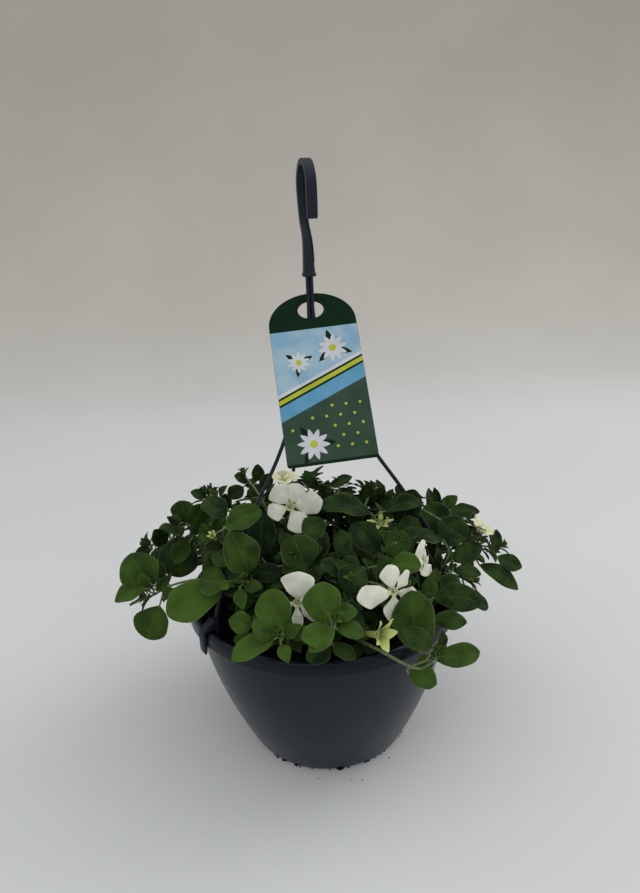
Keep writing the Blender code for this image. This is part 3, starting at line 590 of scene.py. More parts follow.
def make_soil(finish):
    """Peat: a lumpy top over a plain body, with crumbs and fibres lying on it."""
    rim = inner_radius(SOIL_EDGE_HEIGHT) - SOIL_GAP
    rings = [[Vector((0, 0, SOIL_FLOOR))]]
    for height in (SOIL_FLOOR, SOIL_FLOOR + 28 * MM, SOIL_FLOOR + 56 * MM, SOIL_EDGE_HEIGHT):
        rings.append(level_ring(inner_radius(height) - SOIL_GAP, height, SOIL_SEGMENTS))
    for i in range(SOIL_CIRCLES - 1, 0, -1):
        ring = level_ring(rim * i / SOIL_CIRCLES, 0, SOIL_SEGMENTS)
        for place in ring:
            place.z = soil_height(place.x, place.y)
        rings.append(ring)
    rings.append([Vector((0, 0, soil_height(0, 0)))])
    sheaf = Sheaf()
    sheaf.rings(rings)

    rng = random.Random(7)
    for _ in range(CRUMBS):
        spot = polar(rng.uniform(0, 360), rim * math.sqrt(rng.uniform(0.02, 0.95)), 0)
        size = rng.choice((0.7, 0.9, 1.2, 1.6, 2.4)) * MM
        spot.z = soil_height(spot.x, spot.y) + 0.3 * size
        crumb(sheaf, spot, size, rng, rng.random())
    for _ in range(FIBRES):
        start = polar(rng.uniform(0, 360), rim * math.sqrt(rng.uniform(0.05, 0.85)), 0)
        way = direction(rng.uniform(0, 360), 0) * rng.uniform(3, 8) * MM
        path = [start + way * k / 3 + rng.uniform(-0.8, 0.8) * MM * Vector((1, 1, 0)) for k in range(4)]
        for place in path:
            place.z = soil_height(place.x, place.y) + rng.uniform(0.3, 1.4) * MM
        sheaf.tube(path, [0.25 * MM] * 4, 4, tone=1.0)
    stands_for(sheaf.piece("peat_soil", [finish]), "soil", "soil")


# ---------------------------------------------------------------- hanger


def hook_point(along, height):
    return polar(HOOK_PLANE, along, height)


def rounded_square(side):
    """A square with soft corners, as (across, up)."""
    corner = 5.0
    outline = []
    for k in range(COLLAR_POINTS):
        angle = math.tau * (k + 0.5) / COLLAR_POINTS
        c = math.cos(angle)
        s = math.sin(angle)
        reach = (abs(c) ** corner + abs(s) ** corner) ** (-1 / corner)
        outline.append((side / 2 * reach * c, side / 2 * reach * s))
    return outline


def strap_route():
    """The strap's way up from inside the collar, round the loop, and down its open end."""
    centre, middle = LOOP_CENTRE
    rise = smooth_path(
        [
            hook_point(0, COLLAR_TOP - 8 * MM),
            hook_point(-0.5 * MM, 487 * MM),
            hook_point(-4 * MM, 496 * MM),
            hook_point(-12 * MM, 509 * MM),
            hook_point(centre - LOOP_RADIUS, middle - 4 * MM),
        ],
        7,
    )
    arc = []
    for degrees in range(0, 181, 6):
        angle = math.radians(degrees)
        along = centre - LOOP_RADIUS * math.cos(angle)
        arc.append(hook_point(along, middle + LOOP_RADIUS * math.sin(angle)))
    end = []
    for share in (0.3, 0.6, 0.9, 0.97, 1.0):
        height = middle + (HOOK_END_HEIGHT - middle) * share
        end.append(hook_point(centre + LOOP_RADIUS - 1 * MM * share**2, height))
    return rise, arc, end


def mirrored(outline):
    return [(-across, up) for across, up in reversed(outline)]


def strap_section(channel):
    """The strap's outline as (across, up), with a channel of a given depth along its inner face."""
    half = STRAP_WIDTH / 2
    inner = half - STRAP_EDGE
    back = -STRAP_THICKNESS / 2
    front = STRAP_THICKNESS / 2 + STRAP_EDGE_RISE
    upper = [
        (half, front - STRAP_SOFT),
        (half - STRAP_SOFT, front),
        (inner + 0.2 * MM, front),
        (inner, front - channel),
    ]
    lower = [(half - STRAP_SOFT, back), (half, back + STRAP_SOFT)]
    return upper + [(0, front - channel)] + mirrored(upper) + mirrored(lower) + [(0, back)] + lower


def add_strap(sheaf):
    """The strap thickens and loses its channel into the collar, and widens round the loop."""
    rise, arc, end = strap_route()
    path = rise + arc + end
    sections = []
    for i in range(len(path)):
        left = len(path) - 1 - i
        scale = (0.9, 0.97)[left] if left < 2 else 1.0
        root = max(1 - i / STRAP_ROOT, 0)
        round_loop = min(max(i - len(rise), 0) / len(arc), 1.0)
        width = scale * (0.94 + 0.22 * root + 0.16 * round_loop)
        depth = scale * (1 + 0.75 * root)
        outline = strap_section(STRAP_CHANNEL * (1 - root))
        sections.append([(across * width, up * depth) for across, up in outline])
    sheaf.rings(swept(path, sections, normal=direction(HOOK_PLANE, 0)))


def add_collar(sheaf):
    """Square, with a lip round its foot, narrowing upwards, and a round bore from below."""
    lip = COLLAR_FOOT + 3 * MM
    # height, and width as a share of the full side
    levels = (
        (COLLAR_FOOT, 1.06),
        (COLLAR_FOOT + 0.4 * MM, 1.1),
        (lip - 0.4 * MM, 1.1),
        (lip, 1.06),
        (lip + 0.5 * MM, 0.97),
        (COLLAR_TOP - 8 * MM, 0.88),
        (COLLAR_TOP - 5 * MM, 0.78),
        (COLLAR_TOP - 3 * MM, 0.60),
    )
    square = rounded_square(COLLAR_SIDE)
    heights = [COLLAR_FOOT + BORE_DEPTH, COLLAR_FOOT, *[height for height, _ in levels]]
    outlines = [circle(BORE_RADIUS, COLLAR_POINTS)] * 2
    outlines += [[(a * share, b * share) for a, b in square] for _, share in levels]
    facing = direction(HOOK_PLANE, 0)
    across = direction(HOOK_PLANE + 90, 0)
    rings = []
    for height, outline in zip(heights, outlines):
        rings.append([height * UP + a * across + b * facing for a, b in outline])
    sheaf.rings(rings)


def make_hook(finish):
    sheaf = Sheaf()
    add_strap(sheaf)
    add_collar(sheaf)
    stands_for(sheaf.piece("hanger_hook_strap", [finish]), "hanger_plastic", "hanger_hook")


def rod_path(rod):
    """Down from the collar in a bundle, out in an S curve, and down inside the rim."""
    highest = ROD_STATIONS[BUNDLE_STATIONS - 1][1]
    lowest = ROD_STATIONS[-1][1]
    points = []
    for radius, height in ROD_STATIONS:
        fall = min(max((highest - height) / (highest - lowest), 0.0), 1.0)
        azimuth = rod.bundle_azimuth + (rod.rim_azimuth - rod.bundle_azimuth) * min(fall * 4, 1.0)
        out = radius * MM + rod.bow * math.sin(math.pi * fall)
        points.append(polar(azimuth, out, height * MM))
    points[-1] += ROD_FOOT_STEP * direction(rod.rim_azimuth, 0)
    return smooth_path(points, 6)


def clip_mesh(rod):
    """The saddle over the rim, its outer leg hooked under the skirt, with softened edges."""
    outer_face = SKIRT_RADIUS + 0.7 * MM
    outline = (
        (120.8 * MM, 150 * MM),
        (124.0 * MM, 150 * MM),
        (124.6 * MM, RIM_HEIGHT + 0.6 * MM),
        (outer_face, RIM_HEIGHT + 0.6 * MM),
        (outer_face, SKIRT_FOOT - 0.6 * MM),
        (outer_face - 1.6 * MM, SKIRT_FOOT - 0.9 * MM),
        (outer_face - 0.6 * MM, 140 * MM),
        (outer_face + 0.8 * MM, 138.6 * MM),
        (outer_face + 2.2 * MM, 142 * MM),
        (outer_face + 2.4 * MM, 158 * MM),
        (outer_face + 0.6 * MM, 163 * MM),
        (129 * MM, 168.0 * MM),
        (125 * MM, 171.0 * MM),
        (120.8 * MM, 170 * MM),
    )
    outward = direction(rod.rim_azimuth, 0)
    along = direction(rod.rim_azimuth + 90, 0)
    bm = bmesh.new()
    sides = []
    for side in (-0.5, 0.5):
        offset = side * CLIP_WIDTH * along
        sides.append([bm.verts.new(offset + r * outward + z * UP) for r, z in outline])
    for k in range(len(outline)):
        j = (k + 1) % len(outline)
        bm.faces.new([sides[0][k], sides[0][j], sides[1][j], sides[1][k]])
    caps = [bm.faces.new(sides[0][::-1]), bm.faces.new(sides[1])]
    edges = list({edge for cap in caps for edge in cap.edges})
    bmesh.ops.bevel(bm, geom=edges, offset=0.6 * MM, segments=3, affect="EDGES", profile=0.6)
    bmesh.ops.recalc_face_normals(bm, faces=bm.faces)
    return bm


def make_rods(finish):
    for rod in RODS:
        path = rod_path(rod)
        last = len(path) - 1
        radii = [ROD_TOP_RADIUS + (ROD_FOOT_RADIUS - ROD_TOP_RADIUS) * i / last for i in range(last + 1)]
        sheaf = Sheaf()
        sheaf.tube(path, radii, 14)
        sheaf.add_mesh(clip_mesh(rod))
        stands_for(sheaf.piece(rod.name + "_moulded", [finish]), "hanger_plastic", rod.name)


# ---------------------------------------------------------------- tag


def tag_matrix():
    lean = Matrix.Rotation(math.radians(90 - TAG_LEAN), 4, "X")
    turn = Matrix.Rotation(math.radians(TAG_TURN), 4, "Z")
    roll = Matrix.Rotation(math.radians(TAG_ROLL), 4, "Z")
    return Matrix.Translation((0, 0, TAG_HOLE_HEIGHT)) @ turn @ lean @ roll


def tag_outline(inset=0.0):
    """Half an ellipse over straight sides and rounded corners, as (across, up) from the hole."""
    half = TAG_WIDTH / 2 - inset
    outline = []
    for side, start in ((1, -90), (-1, -180)):
        for k in range(6):
            angle = math.radians(start + 90 * k / 5)
            x = side * (half - TAG_CORNER) + TAG_CORNER * math.cos(angle)
            outline.append(Vector((x, TAG_FOOT + inset + TAG_CORNER + TAG_CORNER * math.sin(angle))))
        if side == 1:
            for k in range(37):
                angle = math.pi * k / 36
                rise = (TAG_DOME - inset) * math.sin(angle)
                outline.append(Vector((half * math.cos(angle), TAG_STRAIGHT_TOP + rise)))
    filled = []
    for k, place in enumerate(outline):
        after = outline[(k + 1) % len(outline)]
        steps = max(1, round((after - place).length / TAG_POINT_STEP))
        filled += [place.lerp(after, step / steps) for step in range(steps)]
    return filled


def print_shape(prints, outline, ink, layer):
    """A flat printed shape. A higher layer stands further out of the card."""
    bm = bmesh.new()
    bottom = [bm.verts.new((x, y, TAG_THICKNESS / 2 - INK_SUNK)) for x, y in outline]
    top = [bm.verts.new((x, y, TAG_THICKNESS / 2 + INK * layer)) for x, y in outline]
    bm.faces.new(bottom[::-1])
    bm.faces.new(top)
    for k in range(len(outline)):
        j = (k + 1) % len(outline)
        bm.faces.new([bottom[k], bottom[j], top[j], top[k]])
    bmesh.ops.recalc_face_normals(bm, faces=bm.faces)
    bmesh.ops.triangulate(bm, faces=[face for face in bm.faces if len(face.verts) > 4])
    bm.transform(tag_matrix())
    prints.add_mesh(bm, ink)


def lens(centre, length, width, turned, points=9):
    """A leaf or petal outline from centre outwards, pointed at both ends."""
    outline = []
    for side in (1, -1):
        for k in range(points):
            share = k / points if side == 1 else 1 - k / points
            across = side * width / 2 * math.sin(math.pi * share) ** 0.8
            outline.append(Vector((across, share * length)))
    spin = Matrix.Rotation(math.radians(turned), 2)
    return [spin @ place + Vector(centre) for place in outline]


def disc(centre, radius, points):
    return [Vector((centre[0] + radius * c, centre[1] + radius * s)) for c, s in circle(1.0, points)]


def line(height, rise=STRIPE_RISE):
    """The line at a height on the card's middle that climbs by rise, as a function of x."""
    return lambda x: height + rise * x


def band(low, high, steps=16):
    """A stripe across the card between two lines."""
    half = TAG_WIDTH / 2 - 0.2 * MM
    xs = [half * (2 * k / steps - 1) for k in range(steps + 1)]
    return [Vector((x, low(x))) for x in xs] + [Vector((x, high(x))) for x in reversed(xs)]


def print_daisy(prints, centre, reach, turned):
    """A daisy of ten narrow petals over three leaves."""
    for k in range(3):
        leaf = lens(centre, 1.35 * reach, 0.42 * reach, turned + 120 * k)
        print_shape(prints, leaf, GREEN, SPRIG_LAYER + 0.3 * k)
    for k in range(10):
        petal = lens(centre, reach, 0.34 * reach, turned + 36 * k + 18)
        print_shape(prints, petal, WHITE, PETAL_LAYER + 0.3 * k)
    print_shape(prints, disc(centre, 0.24 * reach, 20), LIME, EYE_LAYER)


def print_dots(prints):
    """Rows of dots below the stripes, left out round the daisies and near the card's edges."""
    for row in range(6):
        for column in range(6):
            spot = Vector((-30 + 12 * column + 6 * (row % 2), -90 - 9 * row)) * MM
            clear = all((spot - Vector((x, y)) * MM).length > 1.2 * reach * MM for x, y, reach, _ in DAISIES)
            below_stripes = TAG_FOOT + 7 * MM < spot.y < line(-89 * MM)(spot.x)
            if clear and below_stripes and spot.x < 34 * MM:
                print_shape(prints, disc(spot, DOT_RADIUS, 12), LIME, STRIPE_LAYER)


def make_card(card, front):
    """The sheet with its oval hole; front is the finish of its printed side."""
    half = TAG_THICKNESS / 2
    matrix = tag_matrix()
    edge = tag_outline()
    inner = tag_outline(TAG_SOFT)
    angles = [math.atan2(place.y / TAG_HOLE[1], place.x / TAG_HOLE[0]) for place in edge]
    hole = [Vector((TAG_HOLE[0] * math.cos(a), TAG_HOLE[1] * math.sin(a))) for a in angles]
    levels = [(hole, -half), (inner, -half), (edge, -half * 0.5)]
    levels += [(edge, half * 0.5), (inner, half), (hole, half)]
    rings = [[matrix @ Vector((x, y, z)) for x, y in outline] for outline, z in levels]
    sheaf = Sheaf()
    sheaf.rings(rings + rings[:1], caps=False)
    piece = sheaf.piece("tag_card_sheet", [card, front], sharp=30)
    faces_out = matrix.to_3x3() @ UP
    for polygon in piece.data.polygons:
        polygon.material_index = 1 if polygon.normal.dot(faces_out) > 0.8 else 0
    stands_for(piece, "tag_card", "hang_tag")


def make_tag(card, inks):
    """A green card with a plain print: daisies, slanting stripes and dots."""
    make_card(card, inks[GREEN])
    prints = Sheaf()
    print_shape(prints, band(line(TAG_FOOT + 2.6 * MM, 0), line(-84 * MM)), MOSS, GROUND_LAYER)
    print_shape(prints, band(line(-60 * MM), line(-18 * MM, 0)), HAZE, GROUND_LAYER)
    for low, high, ink in STRIPES:
        print_shape(prints, band(line(low * MM), line(high * MM)), ink, STRIPE_LAYER)
    print_dots(prints)
    for x, y, reach, turned in DAISIES:
        print_daisy(prints, (x * MM, y * MM), reach * MM, turned)
    stands_for(prints.piece("tag_print", inks, sharp=30), "tag_card")


# ---------------------------------------------------------------- plant

EYE = Vector((0.3, -60.7, 51.1)) * CM  # where the camera stands
GOLDEN_ANGLE = math.radians(137.5)
STEM_RADIUS = 1.6 * MM
STEM_TIP_RADIUS = 0.9 * MM
STALK_RADIUS = 1.0 * MM
LEAF_SLOT, STEM_SLOT, YOUNG_SLOT = range(3)
COROLLA_SLOT, CALYX_SLOT, STAMEN_SLOT = range(3)
SHOWN_GRID = (14, 13)  # rows and columns of the petals and the listed leaves,
LARGE_GRID = (10, 9)  # of the large leaves that grow by rule,
SMALL_GRID = (7, 7)  # of the small ones,
YOUNG_GRID = (6, 5)  # of those in a rosette,
SEPAL_GRID = (7, 5)  # of the sepals,
TRIAL_GRID = (5, 5)  # and of a leaf that is tried for room
CROWN_REACH = 190 * MM  # the dome that the leaves fill: half its width,
CROWN_FOOT = 180 * MM  # where it starts to close in
CROWN_RISE = 82 * MM  # and how far it rises above that
RIM_REACH = 118 * MM  # leaves further out than this hang over the rim,
FRONT_HANG = 176 * MM  # where they stay above this height in front
BACK_HANG = 150 * MM  # and above this one behind
BEHIND = 20 * MM  # y from which a place counts as behind
HIDDEN_DEPTH = 0.3  # how far behind a leaf it is looked for what the leaf would hide
FRONT_ROW = -38 * MM  # listed leaves behind this y get painted shade, their tone times
PAINTED_BACK_SHADE = 0.4
FILL_TRIES = 1600  # leaves tried where there may still be room
ROSETTE_LEAVES = 15
POINTED_WIDTH = 1.3  # cm; narrower leaves have the young form
ROUND_WIDTH = 2.2  # cm; narrower ones end in a longer tip
OPEN_MOUTH = 0.3  # cm; stamens show in wider mouths

# A blade's outline is narrow at its foot, widest where swell and taper balance, and closes at its
# tip. fold lifts its halves, curl turns its edges down, arch bows its spine up and bend to a side,
# wave ripples its edge up and down and ragged makes its outline uneven.
Form = namedtuple("Form", "swell taper foot fold curl arch bend wave ragged thickness")
LEAF_FORM = Form(0.80, 0.62, 0.9 * MM, 0.30, 0.12, 0.06, 0.0, 0.026, 0.045, 0.5 * MM)
YOUNG_FORM = Form(0.85, 0.90, 0.6 * MM, 0.50, 0.06, 0.09, 0.0, 0.010, 0.03, 0.5 * MM)
PETAL_FORM = Form(1.15, 0.74, 1.6 * MM, -0.10, 0.04, 0.06, 0.0, 0.055, 0.08, 0.4 * MM)
LOBE_FORM = Form(0.45, 0.95, 1.2 * MM, 0.35, 0.05, 0.05, 0.0, 0.010, 0.03, 0.4 * MM)
SEPAL_FORM = Form(0.30, 0.60, 0.9 * MM, 0.35, 0.05, 0.06, 0.0, 0.0, 0.0, 0.5 * MM)

Blade = namedtuple("Blade", "top bottom alongs tip")

# A shoot's path is four (azimuth, radius in cm, height in cm), from the soil to the tip. leaves is
# how many grow along it by rule, size is the longest of them in cm.
Shoot = namedtuple("Shoot", "name leaves size path")
SHOOTS = (
    Shoot("shoot_left_low", 9, 3.6, (
        (200, 5.0, 14.6), (199, 10.5, 18.6), (197, 14.0, 19.0), (194, 17.0, 17.6))),
    Shoot("shoot_left_outer", 10, 3.2, (
        (172, 5.5, 14.6), (172, 11.0, 19.0), (171, 15.0, 20.2), (171, 18.0, 19.6))),
    Shoot("shoot_left_high", 10, 3.4, (
        (184, 4.0, 14.8), (184, 7.5, 19.5), (182, 11.0, 22.4), (181, 13.5, 23.4))),
    Shoot("shoot_left_front", 10, 3.4, (
        (214, 4.5, 14.8), (212, 6.5, 19.5), (207, 9.0, 22.5), (203, 10.6, 24.0))),
    Shoot("shoot_left_back", 10, 3.2, (
        (154, 4.5, 14.8), (153, 8.0, 19.5), (151, 11.5, 22.4), (150, 13.8, 23.3))),
    Shoot("shoot_back_left", 10, 3.2, (
        (134, 3.5, 14.9), (134, 6.5, 19.5), (133, 9.5, 23.0), (132, 12.0, 24.4))),
    Shoot("shoot_front_left", 8, 2.8, (
        (232, 6.0, 14.6), (231, 8.2, 18.0), (231, 9.6, 20.0), (232, 10.6, 21.2))),
    Shoot("shoot_front_rim", 9, 3.2, (
        (252, 6.0, 14.6), (253, 9.5, 17.4), (255, 12.5, 18.6), (256, 14.5, 19.5))),
    Shoot("shoot_front", 9, 3.4, (
        (271, 5.5, 14.6), (271, 9.0, 17.8), (272, 12.2, 19.6), (273, 14.4, 20.9))),
    Shoot("shoot_front_high", 10, 3.8, (
        (258, 3.0, 14.9), (257, 4.5, 18.5), (256, 6.5, 21.4), (255, 8.2, 23.2))),
    Shoot("shoot_back", 10, 3.4, (
        (98, 4.0, 14.8), (98, 7.0, 19.0), (97, 10.0, 21.6), (96, 12.2, 22.3))),
    Shoot("shoot_back_right", 10, 3.4, (
        (78, 4.5, 14.8), (78, 7.5, 19.0), (78, 9.8, 21.2), (78, 11.6, 21.9))),
    Shoot("shoot_right_back", 10, 3.6, (
        (50, 3.0, 14.9), (51, 5.0, 18.5), (52, 7.5, 21.2), (53, 9.4, 22.6))),
    Shoot("shoot_right_high", 10, 3.8, (
        (27, 3.5, 14.9), (26, 6.0, 18.8), (25, 8.5, 21.6), (25, 10.2, 22.6))),
    Shoot("shoot_right_outer", 10, 3.6, (
        (16, 5.0, 14.7), (15, 9.5, 18.6), (14, 13.0, 20.4), (13, 15.6, 20.6))),
    Shoot("shoot_right_tip", 10, 3.4, (
        (4, 6.0, 14.6), (4, 11.0, 18.0), (4, 15.0, 18.8), (4, 18.0, 18.4))),
    Shoot("shoot_right_low", 9, 3.6, (
        (346, 6.0, 14.6), (347, 10.0, 17.4), (348, 12.6, 17.8), (349, 14.4, 17.0))),
    Shoot("shoot_right_trailing", 7, 2.8, (
        (288, 8.0, 14.5), (288, 13.2, 16.9), (300, 15.0, 15.0), (311, 14.6, 14.4))),
    Shoot("shoot_right_front", 9, 3.8, (
        (300, 4.5, 14.8), (301, 7.5, 18.0), (302, 9.8, 20.0), (303, 12.0, 20.6))),
    Shoot("shoot_front_right", 10, 3.6, (
        (284, 3.5, 14.9), (284, 5.5, 18.5), (284, 8.0, 20.8), (284, 9.8, 21.6))),
    Shoot("shoot_middle_right", 10, 3.6, (
        (324, 3.0, 14.9), (324, 5.0, 18.8), (323, 7.0, 21.4), (322, 8.6, 22.8))),
    Shoot("shoot_middle", 11, 3.6, (
        (150, 1.0, 14.9), (160, 1.6, 18.5), (175, 2.4, 21.5), (190, 3.2, 23.8))),
    Shoot("shoot_back_low", 11, 3.8, (
        (88, 7.0, 14.6), (88, 11.5, 17.6), (87, 14.6, 18.0), (87, 17.0, 16.8))),
    Shoot("shoot_back_left_low", 11, 3.8, (
        (118, 7.0, 14.6), (118, 11.2, 17.8), (118, 14.2, 18.6), (117, 16.6, 17.8))),
    Shoot("shoot_back_right_low", 11, 3.8, (
        (58, 7.0, 14.6), (58, 11.0, 17.8), (58, 14.0, 18.6), (58, 16.6, 17.6))),
    Shoot("shoot_far_left_low", 11, 3.6, (
        (146, 7.0, 14.6), (146, 11.4, 17.8), (146, 14.4, 18.6), (146, 17.0, 17.8))),
    Shoot("shoot_far_right_low", 11, 3.8, (
        (32, 7.0, 14.6), (32, 11.4, 17.8), (32, 14.6, 18.4), (32, 17.4, 17.6))),
    Shoot("shoot_under_right", 8, 3.4, (
        (330, 7.0, 14.6), (331, 10.2, 17.0), (332, 11.8, 17.2), (333, 12.8, 16.8))),
)
